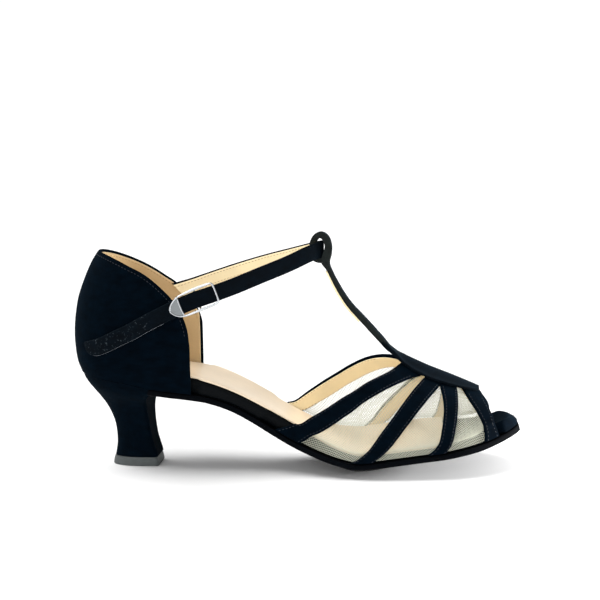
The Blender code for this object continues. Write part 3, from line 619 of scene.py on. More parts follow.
class Graph:
    """Adds nodes and their links to a shader or a geometry tree."""

    def __init__(self, tree: bpy.types.NodeTree) -> None:
        """Keeps the tree that is to be filled."""
        self.tree = tree

    def node(
        self,
        kind: str,
        settings: dict[str, object] | None = None,
        inputs: dict[str | int, object] | None = None,
        out: str | int = 0,
    ) -> Wire:
        """Adds one node.

        Args:
            kind: The node's type.
            settings: Its properties, which are set first; `stops` fills a ramp.
            inputs: Values or wires by socket name or number.
            out: The output to return.

        Returns:
            That output.
        """
        made = self.tree.nodes.new(kind)
        for name, value in (settings or {}).items():
            if name == "stops":
                self._fill_ramp(made.color_ramp, value)
            else:
                setattr(made, name, value)
        for name, value in (inputs or {}).items():
            if isinstance(value, Wire):
                self.tree.links.new(value.socket, made.inputs[name])
            else:
                made.inputs[name].default_value = value
        return Wire(self, made.outputs[out])

    @staticmethod
    def _fill_ramp(ramp: bpy.types.ColorRamp, stops: Sequence[tuple[float, float]]) -> None:
        """Sets a ramp's stops.

        Args:
            ramp: The ramp.
            stops: Pairs of position and grey value.
        """
        while len(ramp.elements) < len(stops):
            ramp.elements.new(0.5)
        for element, (place, grey) in zip(ramp.elements, stops):
            element.position, element.color = place, (grey, grey, grey, 1)

    def noise(self, size: float, detail: float = 2.0, stretch: Triple = (1, 1, 1)) -> Wire:
        """Noise of one grain size in metres on Object coordinates.

        Args:
            size: Size of a grain.
            detail: Finer layers that are added.
            stretch: Factors of the coordinates.

        Returns:
            The noise, from 0 to 1.
        """
        place = self.node("ShaderNodeTexCoord", out="Object")
        spot = self.node("ShaderNodeVectorMath", {"operation": "MULTIPLY"}, {0: place, 1: stretch})
        return self.node("ShaderNodeTexNoise", None, {"Vector": spot, "Scale": 1 / size, "Detail": detail}, "Fac")

    def ramp(self, share: Wire, *stops: Span) -> Wire:
        """A grey that follows a ramp's stops."""
        return self.node("ShaderNodeValToRGB", {"stops": stops}, {0: share}, "Color")

    def blend(self, share: Wire, first: Wire | Colour, second: Colour) -> Wire:
        """Mixes two colours by a share."""
        start = first if isinstance(first, Wire) else (*first, 1)
        return self.node("ShaderNodeMix", {"data_type": "RGBA"}, {0: share, 6: start, 7: (*second, 1)}, 2)

    def bump(self, height: Wire, strength: float, depth: float) -> Wire:
        """A normal from a height between 0 and 1, which stands for `depth` metres."""
        return self.node("ShaderNodeBump", None, {"Height": height, "Strength": strength, "Distance": depth}, "Normal")


# Finishes

SHEEN_ROUGHNESS = 0.45
COAT_ROUGHNESS = 0.25


@dataclass(frozen=True)
class Finish:
    """A finish's fixed values; the kinds below add what changes over the surface."""

    name: str
    colour: Colour
    roughness: float = 0.5
    metallic: float = 0.0
    specular: float = 0.5
    sheen: float = 0.0
    sheen_tint: Colour = (1, 1, 1)
    coat: float = 0.0
    dark: float = 0.75
    light: float = 1.25

    def material(self) -> bpy.types.Material:
        """The Blender material, made once.

        Returns:
            The material.
        """
        if self.name in bpy.data.materials:
            return bpy.data.materials[self.name]
        made = bpy.data.materials.new(self.name)
        made.use_nodes = True
        surface = made.node_tree.nodes["Principled BSDF"]
        for socket, value in (
            ("Base Color", (*self.colour, 1)),
            ("Roughness", self.roughness),
            ("Metallic", self.metallic),
            ("Specular IOR Level", self.specular),
            ("Sheen Weight", self.sheen),
            ("Sheen Roughness", SHEEN_ROUGHNESS),
            ("Sheen Tint", (*self.sheen_tint, 1)),
            ("Coat Weight", self.coat),
            ("Coat Roughness", COAT_ROUGHNESS),
        ):
            surface.inputs[socket].default_value = value
        graph = Graph(made.node_tree)
        for socket, wire in self.pattern(graph).items():
            made.node_tree.links.new(wire.socket, surface.inputs[socket])
        return made

    def pattern(self, graph: Graph) -> dict[str, Wire]:
        """Wires for the sockets that change over the surface."""
        return {}

    def cloud(self, graph: Graph, share: Wire) -> Wire:
        """The colour, from its dark to its light tone by a share."""
        low, high = (tuple(channel * tone for channel in self.colour) for tone in (self.dark, self.light))
        return graph.blend(share, low, high)


@dataclass(frozen=True)
class Suede(Finish):
    """Napped microfibre: cloudy brushed patches and a short soft pile."""

    dark: float = 0.62
    light: float = 1.7
    nap: float = 0.00022
    nap_depth: float = 0.00012
    brushed: float = 0.006
    pile_share: float = 0.45
    uneven: float = 0.12

    def pattern(self, graph: Graph) -> dict[str, Wire]:
        """Nap and brushed patches."""
        pile = graph.noise(self.nap, 3, (1, 1, 1.6))
        patches = graph.noise(self.brushed, 2, (1, 1, 1.7))
        mixed = pile * self.pile_share + patches * (1 - self.pile_share)
        return {
            "Base Color": self.cloud(graph, graph.ramp(mixed, (0.34, 0.0), (0.66, 1.0))),
            "Roughness": patches * self.uneven + (self.roughness - self.uneven / 2),
            "Normal": graph.bump(pile, 0.55, self.nap_depth),
        }


@dataclass(frozen=True)
class Flecked(Suede):
    """Suede with small pale flecks over its nap."""

    fleck: float = 0.00055
    cluster: float = 3.1
    fleck_colour: Colour = (0.050, 0.064, 0.075)

    def pattern(self, graph: Graph) -> dict[str, Wire]:
        """The nap, with flecks over it."""
        wires = super().pattern(graph)
        fleck_noise = graph.noise(self.fleck, 1) * 0.5 + graph.noise(self.fleck * self.cluster, 2) * 0.5
        shown = graph.ramp(fleck_noise, (0.605, 0.0), (0.67, 1.0))
        wires["Base Color"] = graph.blend(shown, wires["Base Color"], self.fleck_colour)
        return wires


@dataclass(frozen=True)
class Leather(Finish):
    """Smooth lining leather with fine pores and faint clouding."""

    dark: float = 0.94
    light: float = 1.05
    grain: float = 0.0005
    grain_depth: float = 0.00008
    uneven: float = 0.16

    def pattern(self, graph: Graph) -> dict[str, Wire]:
        """Pores and clouding."""
        pores = graph.node(
            "ShaderNodeTexVoronoi",
            {"feature": "DISTANCE_TO_EDGE"},
            {"Vector": graph.node("ShaderNodeTexCoord", out="Object"), "Scale": 1 / self.grain},
            "Distance",
        )
        clouds = graph.noise(0.012, 2)
        fine = graph.noise(0.0012, 3)
        return {
            "Base Color": self.cloud(graph, graph.ramp(clouds * 0.7 + fine * 0.3, (0.3, 0.0), (0.7, 1.0))),
            "Roughness": fine * self.uneven + (self.roughness - self.uneven / 2),
            "Normal": graph.bump(pores * 0.6 + fine * 0.4, 0.16, self.grain_depth),
        }


@dataclass(frozen=True)
class Metal(Finish):
    """Plated metal with hairline brushing."""

    brush: float = 0.15
    hairline: float = 0.0009
    hairline_depth: float = 0.00005

    def pattern(self, graph: Graph) -> dict[str, Wire]:
        """Hairlines across the plate."""
        lines = graph.noise(self.hairline, 3, (0.25, 1, 4))
        return {
            "Roughness": lines * self.brush + self.roughness,
            "Normal": graph.bump(lines, 0.2 * self.brush, self.hairline_depth),
        }


@dataclass(frozen=True)
class Rubber(Finish):
    """Matt moulded rubber with a fine grit."""

    dark: float = 0.85
    light: float = 1.2
    grit: float = 0.0004
    grit_depth: float = 0.00006
    scuff: float = 0.003
    uneven: float = 0.2

    def pattern(self, graph: Graph) -> dict[str, Wire]:
        """Grit and scuffs."""
        grit = graph.noise(self.grit, 3)
        return {
            "Base Color": self.cloud(graph, graph.noise(self.scuff, 2, (1, 1, 3))),
            "Roughness": grit * self.uneven + (self.roughness - self.uneven / 2),
            "Normal": graph.bump(grit, 0.3, self.grit_depth),
        }


@dataclass(frozen=True)
class Thread(Finish):
    """Twisted thread or yarn."""

    twist: float = 0.0003

    def pattern(self, graph: Graph) -> dict[str, Wire]:
        """Light and dark of the twist."""
        return {"Base Color": self.cloud(graph, graph.noise(self.twist, 1))}


BLACK = (0.0005, 0.0022, 0.0046)
COOL = (0.25, 0.62, 1.0)
UPPER_SUEDE = Suede("upper suede", BLACK, 0.94, specular=0.02, sheen=0.014, sheen_tint=COOL)
HEEL_SUEDE = Suede("heel suede", BLACK, 0.92, specular=0.02, sheen=0.014, sheen_tint=COOL)
# Painted shade: the heel suede with less sheen and shine, for the breast faces that look forward.
SHADED_BREAST_SUEDE = Suede("breast suede", BLACK, 0.95, specular=0.012, sheen=0.004, sheen_tint=COOL)
STRAP_SUEDE = Suede("strap suede", (0.0008, 0.0023, 0.0042), 0.92, specular=0.06, sheen=0.02, sheen_tint=COOL)
TAIL_SUEDE = Flecked("tail suede", (0.0008, 0.0025, 0.0046), 0.90, specular=0.06, sheen=0.02, sheen_tint=COOL)
BOARD_WRAP = Leather("board wrap", (0.0008, 0.0016, 0.0024), 0.6, specular=0.07, grain=0.0004)
TREAD = Suede("tread suede", (0.012, 0.012, 0.013), 0.96, specular=0.08, nap=0.0005)
SOLE_EDGE = Suede("sole edge", (0.0010, 0.0015, 0.0024), 0.88, specular=0.04, nap=0.0004)
LINING = Leather("lining leather", (0.66, 0.49, 0.275), 0.55, specular=0.2)
STRAP_LINING = Leather("strap lining", (0.95, 0.80, 0.51), 0.55, specular=0.2)
SOCK = Leather("sock leather", (0.84, 0.70, 0.52), 0.36, specular=0.3, coat=0.05)
NET_YARN = Thread("net yarn", (0.66, 0.67, 0.55), 0.6, specular=0.2)
BLACK_THREAD = Thread("black thread", (0.011, 0.013, 0.020), 0.55, specular=0.3)
CUT_SIDE = Suede("cut side", (0.0065, 0.009, 0.0085), 0.8, specular=0.15, nap=0.0004, brushed=0.003)
# The tail's cut edge is real; its light grey is a painted highlight of light on the edge paint.
CUT_EDGE_HIGHLIGHT = Thread("cut edge", (0.24, 0.26, 0.29), 0.5, specular=0.4)
LINING_THREAD = Thread("lining thread", (0.44, 0.29, 0.13), 0.6, specular=0.2)
POLISHED = Metal("polished rim", (0.50, 0.52, 0.54), 0.16, 1.0, brush=0.06)
BRUSHED = Metal("brushed plate", (0.225, 0.242, 0.250), 0.34, 1.0, brush=0.35)
FLOOR_PAINT = Finish("floor paint", (0.95, 0.95, 0.95), 0.9, specular=0.0)
TIP_RUBBER = Rubber("tip rubber", (0.078, 0.088, 0.088), 0.62, specular=0.25)


# Making pieces


def placed(name: str, data: bpy.types.ID) -> bpy.types.Object:
    """Makes an object and links it to the scene.

    Args:
        name: The object's name.
        data: Its mesh, lamp or camera.

    Returns:
        The object.
    """
    made = bpy.data.objects.new(name, data)
    bpy.context.scene.collection.objects.link(made)
    return made


class Shape:
    """Points and faces of one piece, gathered before its mesh is made."""

    def __init__(self) -> None:
        """Starts empty."""
        self.points: list[Vector] = []
        self.faces: list[tuple[int, ...]] = []

    def band(self, rings: Sequence[Ring]) -> "Shape":
        """Adds a closed body through rings of points, with both ends filled.

        Args:
            rings: Closed rings with the same number of points.

        Returns:
            This shape.
        """
        base, count = len(self.points), len(rings[0])
        self.points += [point for ring in rings for point in ring]
        for k in range(len(rings) - 1):
            for j in range(count):
                a, b = base + k * count + j, base + k * count + (j + 1) % count
                self.faces.append((a, b, b + count, a + count))
        last = base + (len(rings) - 1) * count
        self.faces.append(tuple(range(base, base + count)))
        self.faces.append(tuple(range(last, last + count)))
        return self

    def solid(self, name: str, finish: Finish, sharp: float = 38.0) -> bpy.types.Object:
        """Makes the piece.

        Args:
            name: The object's name.
            finish: Its finish.
            sharp: Angle in degrees past which an edge stays sharp.

        Returns:
            The object, with its place in its mesh.
        """
        mesh = bpy.data.meshes.new(name)
        mesh.from_pydata([tuple(p) for p in self.points], [], self.faces)
        work = bmesh.new()
        work.from_mesh(mesh)
        bmesh.ops.remove_doubles(work, verts=work.verts, dist=1e-6)
        bmesh.ops.recalc_face_normals(work, faces=work.faces)
        work.to_mesh(mesh)
        work.free()
        mesh.shade_smooth()
        mesh.set_sharp_from_angle(angle=math.radians(sharp))
        mesh.materials.append(finish.material())
        return placed(name, mesh)


def guide(name: str, lines: Lines) -> bpy.types.Object:
    """Makes a mesh of edges only, for a geometry tree to follow.

    Args:
        name: The object's name.
        lines: Lines of points.

    Returns:
        The object.
    """
    points, edges = [], []
    for line in lines:
        edges += [(k, k + 1) for k in range(len(points), len(points) + len(line) - 1)]
        points += line
    mesh = bpy.data.meshes.new(name)
    mesh.from_pydata([tuple(p) for p in points], edges, [])
    return placed(name, mesh)


def paint(piece: bpy.types.Object, finish: Finish, wanted: Callable[[bpy.types.MeshPolygon], bool]) -> None:
    """Gives the wanted faces of a piece a second finish.

    Args:
        piece: The piece.
        finish: The second finish.
        wanted: Whether a face takes it.
    """
    piece.data.materials.append(finish.material())
    for face in piece.data.polygons:
        if wanted(face):
            face.material_index = len(piece.data.materials) - 1


@dataclass
class Runner:
    """A geometry tree with named inputs, run on a guide and turned into a plain mesh."""

    name: str
    sizes: tuple[str, ...]

    def __post_init__(self) -> None:
        """Opens the tree and its sockets."""
        self.tree = bpy.data.node_groups.new(self.name, "GeometryNodeTree")
        face = self.tree.interface
        face.new_socket("Geometry", in_out="INPUT", socket_type="NodeSocketGeometry")
        kinds = {**dict.fromkeys(self.sizes, "NodeSocketFloat"), "Finish": "NodeSocketMaterial"}
        self.keys = {
            name: face.new_socket(name, in_out="INPUT", socket_type=kind).identifier for name, kind in kinds.items()
        }
        face.new_socket("Geometry", in_out="OUTPUT", socket_type="NodeSocketGeometry")
        self.graph = Graph(self.tree)
        self.entry = self.tree.nodes.new("NodeGroupInput")
        self.build()

    def entry_wire(self, name: str) -> Wire:
        """One of the tree's own inputs."""
        return Wire(self.graph, self.entry.outputs[name])

    def build(self) -> None:
        """Adds the nodes; each kind of runner has its own."""
        raise NotImplementedError

    def close(self, geometry: Wire) -> None:
        """Ends the tree with Realize Instances and Set Material.

        Args:
            geometry: What the tree has made.
        """
        real = self.graph.node("GeometryNodeRealizeInstances", None, {"Geometry": geometry})
        smooth = self.graph.node("GeometryNodeSetShadeSmooth", None, {"Geometry": real})
        dressed = self.graph.node(
            "GeometryNodeSetMaterial", None, {"Geometry": smooth, "Material": self.entry_wire("Finish")}
        )
        end = self.tree.nodes.new("NodeGroupOutput")
        self.tree.links.new(dressed.socket, end.inputs["Geometry"])

    def run(self, guide: bpy.types.Object, finish: Finish, **sizes: float) -> bpy.types.Object:
        """Runs the tree on a guide.

        Args:
            guide: Object whose edges the tree follows; it is removed.
            finish: Finish of the result.
            **sizes: Values of the named inputs.

        Returns:
            A plain mesh object with the guide's name.
        """
        modifier = guide.modifiers.new(self.name, "NODES")
        modifier.node_group = self.tree
        modifier[self.keys["Finish"]] = finish.material()
        for size, value in sizes.items():
            modifier[self.keys[size.title()]] = value
        evaluated = guide.evaluated_get(bpy.context.evaluated_depsgraph_get())
        mesh = bpy.data.meshes.new_from_object(evaluated)
        name = guide.name
        bpy.data.objects.remove(guide, do_unlink=True)
        mesh.name = name
        return placed(name, mesh)


@dataclass
class YarnRunner(Runner):
    """Lays a round yarn or wire along every edge of its guide."""

    name: str = "yarn"
    sizes: tuple[str, ...] = ("Radius", "Sides")

    def build(self) -> None:
        """Guide edges to curves, and curves to round yarns."""
        lines = self.graph.node("GeometryNodeMeshToCurve", None, {"Mesh": self.entry_wire("Geometry")})
        ring = self.graph.node(
            "GeometryNodeCurvePrimitiveCircle",
            None,
            {"Resolution": self.entry_wire("Sides"), "Radius": self.entry_wire("Radius")},
        )
        self.close(
            self.graph.node(
                "GeometryNodeCurveToMesh", None, {"Curve": lines, "Profile Curve": ring, "Fill Caps": True}
            )
        )


@dataclass
class StitchRunner(Runner):
    """Sets stitches of one length and pitch along every line of its guide."""

    name: str = "stitches"
    sizes: tuple[str, ...] = ("Pitch", "Length", "Radius")

    def build(self) -> None:
        """Resamples the lines and sets a small rounded stitch on each point."""
        lines = self.graph.node("GeometryNodeMeshToCurve", None, {"Mesh": self.entry_wire("Geometry")})
        spaced = self.graph.node(
            "GeometryNodeResampleCurve", {"mode": "LENGTH"}, {"Curve": lines, "Length": self.entry_wire("Pitch")}
        )
        stitch = self.graph.node("GeometryNodeMeshUVSphere", None, {"Segments": 6, "Rings": 4, "Radius": 1.0})
        turned = self.graph.node(
            "FunctionNodeAlignRotationToVector",
            {"axis": "X"},
            {"Vector": self.graph.node("GeometryNodeInputTangent")},
        )
        half = self.entry_wire("Length") * 0.5
        thick = self.entry_wire("Radius")
        size = self.graph.node("ShaderNodeCombineXYZ", None, {0: half, 1: thick, 2: thick})
        self.close(
            self.graph.node(
                "GeometryNodeInstanceOnPoints",
                None,
                {"Points": spaced, "Instance": stitch, "Rotation": turned, "Scale": size},
            )
        )


@dataclass
class Bench:
    """What every sub-assembly works with: the last, the trees and the stitches' sizes."""

    last: Last = field(default_factory=Last)
    yarn: YarnRunner = field(default_factory=YarnRunner)
    stitch: StitchRunner = field(default_factory=StitchRunner)
    pitch: float = 0.0019
    length: float = 0.0014

    def seat(self, piece: bpy.types.Object, slot: Slot, *nodes: str) -> None:
        """Fixes a finished piece to the frame.

        Args:
            piece: The finished piece.
            slot: The record's slot of its finish; not used.
            *nodes: CAD nodes that it stands for.
        """
        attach(piece, "root")
        if nodes:
            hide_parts(*nodes)
        log.info("%s: %d faces", piece.name, len(piece.data.polygons))

    def sew(self, name: str, lines: Lines, finish: Finish, radius: float = 0.00019) -> None:
        """Sews rows of stitches along lines.

        Args:
            name: The piece's name.
            lines: Lines of points.
            finish: The thread.
            radius: Half a stitch's thickness.
        """
        made = self.stitch.run(guide(name, lines), finish, pitch=self.pitch, length=self.length, radius=radius)
        self.seat(made, Slot.SUEDE if finish is BLACK_THREAD else Slot.SOCK)

    def lay(
        self, name: str, lines: Lines, finish: Finish, slot: Slot, radius: float, sides: float, *nodes: str
    ) -> None:
        """Lays round yarns or wires along lines.

        Args:
            name: The piece's name.
            lines: Lines of points.
            finish: The yarn's finish.
            slot: The record's slot of it.
            radius: Half the yarn's thickness.
            sides: Sides of its section.
            *nodes: CAD nodes that it stands for.
        """
        self.seat(self.yarn.run(guide(name, lines), finish, radius=radius, sides=sides), slot, *nodes)


# Sub-assemblies

FINE_STITCH = 0.00016
FACES_DOWN = -0.75
FACES_FRONT = 0.8
FACES_SIDE = 0.5


@dataclass
class Bottom:
    """Outsole, board and sock."""

    bench: Bench
    stations: int = 150
    columns: int = 21
    even: float = 0.3
    slimmest: float = 0.0003
    breast_gap: float = 0.003
    sole_end: float = 0.9985
    sole_edge: float = 0.0008
    board_span: Span = (0.0125, 0.998)
    board_edge: float = 0.0016
    sock_span: Span = (0.0180, 0.835)
    sock_edge: float = 0.0006
    sock_inset: float = 0.0004
    heel_wrap: Span = (0.272, 0.280)
    fore_wrap: Span = (0.405, 0.420)
    toe_wrap: Span = (0.952, 0.972)
    matt_from: float = 0.90
    nose: float = 0.0065
    nose_drop: float = 0.60

    def _tucked(self, x: float) -> float:
        """How far the board stands in from the outline, where the upper wraps round it.

        Args:
            x: Place along the sole.

        Returns:
            The distance.
        """
        last = self.bench.last
        heel, fore, toe = (
            ease(last.x_of(start), last.x_of(end), x) for start, end in (self.heel_wrap, self.fore_wrap, self.toe_wrap)
        )
        return GAP * 1.5 + (last.wall + GAP) * max(1 - heel, fore * (1 - toe))

    def _plate(
        self, start: float, end: float, inset: Callable[[float], float], low: Callable[[float], float],
        high: Callable[[float], float], edge: float,
    ) -> list[Ring]:
        """Rings of a plate that follows the sole's line.

        Args:
            start: Share of the length where it starts.
            end: Share where it ends.
            inset: How far it stands in from the outline, at x.
            low: Lift of its lower face, at x.
            high: Lift of its upper face, at x.
            edge: Radius of its rounded edge across.

        Returns:
            The rings.
        """
        last, rings = self.bench.last, []
        for k in range(self.stations + 1):
            share = k / self.stations
            eased = (1 - math.cos(math.pi * share)) / 2
            x = last.x_of(start + (end - start) * (share * self.even + eased * (1 - self.even)))
            outer, inner = (max(last.outline(x, side, inset(x)), self.slimmest) for side in SIDES)
            ring = []
            for t, level in section(self.columns, low(x), high(x), min(edge / min(outer, inner), 0.5)):
                ring.append(last.sole_point(x, t * (inner if t > 0 else outer), level))
            rings.append(ring)
        return rings

    def _board_top(self, x: float) -> float:
        """Lift of the board's top, which rounds down at the toe.

        Args:
            x: Place along the sole.

        Returns:
            The lift.
        """
        last = self.bench.last
        near = min(max((last.x_of(self.board_span[1]) - x) / self.nose, 0), 1)
        drop = self.nose_drop * (1 - math.sqrt(1 - (1 - near) ** 2))
        return last.outsole + (last.board(x) - GAP) * (1 - drop)

    def make(self) -> None:
        """Builds and dresses the three plates."""
        last, bench = self.bench.last, self.bench
        rings = self._plate(
            last.heel_breast + self.breast_gap, self.sole_end,
            lambda x: 0.0, lambda x: 0.0, lambda x: last.outsole, self.sole_edge,
        )
        sole = Shape().band(rings).solid("sole_plate", SOLE_EDGE)
        paint(sole, TREAD, lambda face: face.normal.z < FACES_DOWN)
        bench.seat(sole, Slot.TREAD, "outsole")
        rings = self._plate(
            *self.board_span, self._tucked, lambda x: last.outsole + GAP, self._board_top, self.board_edge
        )
        cover = Shape().band(rings).solid("board_cover", BOARD_WRAP)
        paint(cover, UPPER_SUEDE, lambda face: face.center.x > last.x_of(self.matt_from))
        bench.seat(cover, Slot.WRAP, "insole_board")
        rings = self._plate(
            *self.sock_span, lambda x: self._tucked(x) + self.sock_inset, lambda x: last.outsole + last.board(x) - GAP,
            lambda x: last.outsole + last.board(x) + last.sock, self.sock_edge,
        )
        bench.seat(Shape().band(rings).solid("sock_cover", SOCK), Slot.SOCK, "sock")


@dataclass
class Heel:
    """The flared heel's suede cover and its rubber top piece."""

    bench: Bench
    levels: int = 64
    around: int = 28
    across: int = 8
    round_share: float = 0.72
    flank: tuple[float, ...] = (0.78, 0.84, 0.89, 0.93, 0.955, 0.975, 0.99, 1.0)
    corner_from: float = 0.93
    corner_trim: float = 0.10
    seat_steps: tuple[float, ...] = (0.3, 0.6, 0.85, 1.0)
    tip_back: float = -0.270
    tip_breast: float = 0.236
    tip_width: float = 0.176
    fillet: float = 0.0030
    fillet_from: float = 0.75
    tip_rows: tuple[Span, ...] = (
        (0.985, 0.0), (1.0, 0.0003), (0.995, 0.0012), (0.97, 0.0030), (0.935, 0.0046), (0.92, 0.0046),
    )
    seam: float = 0.00028

    def _half(self, share: float) -> float:
        """The seat's half-width at a share of the way from its back to the breast.

        Args:
            share: The share.

        Returns:
            The half-width, as a share of the full one.
        """
        last = self.bench.last
        corner = 1 - self.corner_trim * max((share - self.corner_from) / (1 - self.corner_from), 0) ** 2
        return last.outline(last.x_of(share * last.heel_breast), -1) / (last.ball_width * SOLE[0].lateral) * corner

    def _ring(self, back: float, breast: float, width: float, height: Callable[[float], float]) -> Ring:
        """One closed ring: round the back from the inner to the outer breast corner.

        Args:
            back: X of its backmost point.
            breast: X of its front.
            width: Half-width of the full section.
            height: Z at a share of its length.

        Returns:
            The ring.
        """
        shares = [1 - math.cos(math.pi / 2 * k / self.around) for k in range(self.around + 1)]
        shares = [self.round_share * s for s in shares] + [*self.flank]
        ring = [
            Vector((back + (breast - back) * share, side * width * self._half(share), height(share)))
            for side, run in ((1, shares[::-1]), (-1, shares[1:]))
            for share in run
        ]
        for k in range(1, self.across):
            y = -width * self._half(1.0) * (1 - 2 * k / self.across)
            ring.append(Vector((breast, y, height(1.0))))
        return ring

    def make(self) -> None:
        """Builds and dresses the cover and the top piece."""
        last, bench, table = self.bench.last, self.bench, Table(HEEL)
        tall = last.heel_height
        rings, low = [], self.tip_rows[-1][1] + GAP
        first, top = HEEL[0].rise, HEEL[-1].rise
        for k in range(self.levels + 1):
            rise = first + (top - first) * k / self.levels
            dip = table.at("dip", rise)
            reach = (rise - dip - self.fillet_from) / (top - HEEL[-1].dip - self.fillet_from)
            flare = self.fillet * max(reach, 0) ** 2
            rings.append(
                self._ring(
                    table.at("back", rise) * tall, table.at("breast", rise) * tall + flare,
                    table.at("width", rise) * tall,
                    lambda share, rise=rise, dip=dip: low + (rise - dip * share - first) / (1 - first) * (tall - low),
                )
            )
        flat = self._ring(
            last.x_of(0), last.x_of(last.heel_breast) + self.fillet, last.ball_width * SOLE[0].lateral,
            lambda share: 0.0,
        )
        seat = [last.sole_point(p.x, p.y, last.outsole) for p in flat]
        for share in self.seat_steps:
            rings.append([a.lerp(b, share) for a, b in zip(rings[self.levels], seat)])
        cover = Shape().band(rings).solid("heel_cover", HEEL_SUEDE, 50)
        # The faces that look forward take the suede with less sheen, a painted shade on the breast.
        paint(cover, SHADED_BREAST_SUEDE, lambda face: face.normal.x > FACES_FRONT)
        bench.seat(cover, Slot.HEEL, "heel")
        tips = []
        for shrink, z in self.tip_rows:
            tips.append(
                self._ring(
                    self.tip_back * tall * shrink, self.tip_breast * tall * shrink,
                    self.tip_width * tall * (0.5 + shrink / 2), lambda share, z=z: z,
                )
            )
        bench.seat(Shape().band(tips).solid("top_piece", TIP_RUBBER, 40), Slot.RUBBER, "heel_tip")
        seam = []
        for side in SIDES:
            index = 0 if side > 0 else 2 * (self.around + len(self.flank))
            seam.append([ring[index] for ring in rings[: self.levels - 2]])
        bench.lay("breast_seams", seam, HEEL_SUEDE, Slot.HEEL, self.seam, 6)


@dataclass
class Counter:
    """The closed counter: its suede shell, its lining and the stitches round its collar."""

    bench: Bench
    columns: int = 90
    rows: int = 30
    shell: float = 0.0013
    lining_drop: float = 0.0009
    lining_back: float = 0.980
    inner_end: float = 0.987
    stitch_drop: float = 0.0019
    crowding: float = 0.55
    lining_gap: float = 0.00003
    proud: float = 0.00002
    flattest: float = 0.15

    def _shares(self, end: float = 1.0) -> list[tuple[int, float]]:
        """Places round the counter, from the outer front edge to the inner one.

        Args:
            end: Share of the counter's length that is covered.

        Returns:
            Sides with shares of the sole's length.
        """
        last = self.bench.last
        run = []
        for k in range(self.columns + 1):
            share = k / self.columns
            eased = (1 - math.cos(math.pi * share)) / 2
            run.append((share * (1 - self.crowding) + eased * self.crowding) * last.quarter_end * end)
        return [(-1, s) for s in run[:0:-1]] + [(1, s * self.inner_end) for s in run]

    def _layer(self, outer: float, inner: float, drop: float, end: float = 1.0) -> list[Ring]:
        """Rings of one layer, up its outer face, over the edge and down inside.

        Args:
            outer: Depth of its outer face.
            inner: Depth of its inner face.
            drop: How far its edge stays below the collar.
            end: Share of the counter's length that it covers.

        Returns:
            The rings.
        """
        last, rings = self.bench.last, []
        half, middle = (inner - outer) / 2, (inner + outer) / 2
        for side, along in self._shares(end):
            seat = last.underside(last.x_of(along)) + last.outsole + GAP
            top = last.collar_point(along, side).z - drop
            levels = [seat + (top - half - seat) * k / self.rows for k in range(self.rows + 1)]
            ring = [last.quarter_point(along, side, z, outer) for z in levels]
            for k in range(1, 6):
                angle = math.pi * k / 6
                level, depth = top - half + half * math.sin(angle), middle - half * math.cos(angle)
                ring.append(last.quarter_point(along, side, level, depth))
            ring += [last.quarter_point(along, side, z, inner) for z in reversed(levels)]
            rings.append(ring)
        return rings

    def _collar_line(self, inset: float, depth: float) -> list[Vector]:
        """A line that follows the collar at a distance inside its edge.

        Args:
            inset: Distance from the edge, square to it.
            depth: Distance inside the outer face.

        Returns:
            The line's points, from the outer side round the back to the inner.
        """
        last, edge = self.bench.last, []
        for side, along in self._shares()[::2]:
            edge.append((side, along, last.collar_point(along, side)))
        found = []
        for before, here, after in zip(edge, edge[1:], edge[2:]):
            side, along, point = here
            run = (after[2] - before[2]).normalized() * side
            flat = math.hypot(run.x, run.y)
            shift = inset * abs(run.z)
            z = point.z - inset * max(flat, self.flattest)
            moved = max(along - shift / last.sole_length, 0.0)
            found.append(last.quarter_point(moved, side, z, depth))
        return found

    def make(self) -> None:
        """Builds and dresses the shell, the lining and the stitches."""
        bench, wall = self.bench, self.bench.last.wall
        shell = Shape().band(self._layer(0.0, self.shell, 0.0))
        bench.seat(shell.solid("counter_shell", UPPER_SUEDE, 60), Slot.SUEDE, "upper_quarter")
        lining = Shape().band(self._layer(self.shell + self.lining_gap, wall, self.lining_drop, self.lining_back))
        bench.seat(lining.solid("counter_lining", LINING, 60), Slot.SOCK, "upper_quarter")
        outside, inside = (self._collar_line(self.stitch_drop, depth) for depth in (-self.proud, wall + self.proud))
        bench.sew("collar_stitches", [outside], BLACK_THREAD)
        bench.sew("collar_lining_stitches", [inside], LINING_THREAD, FINE_STITCH)


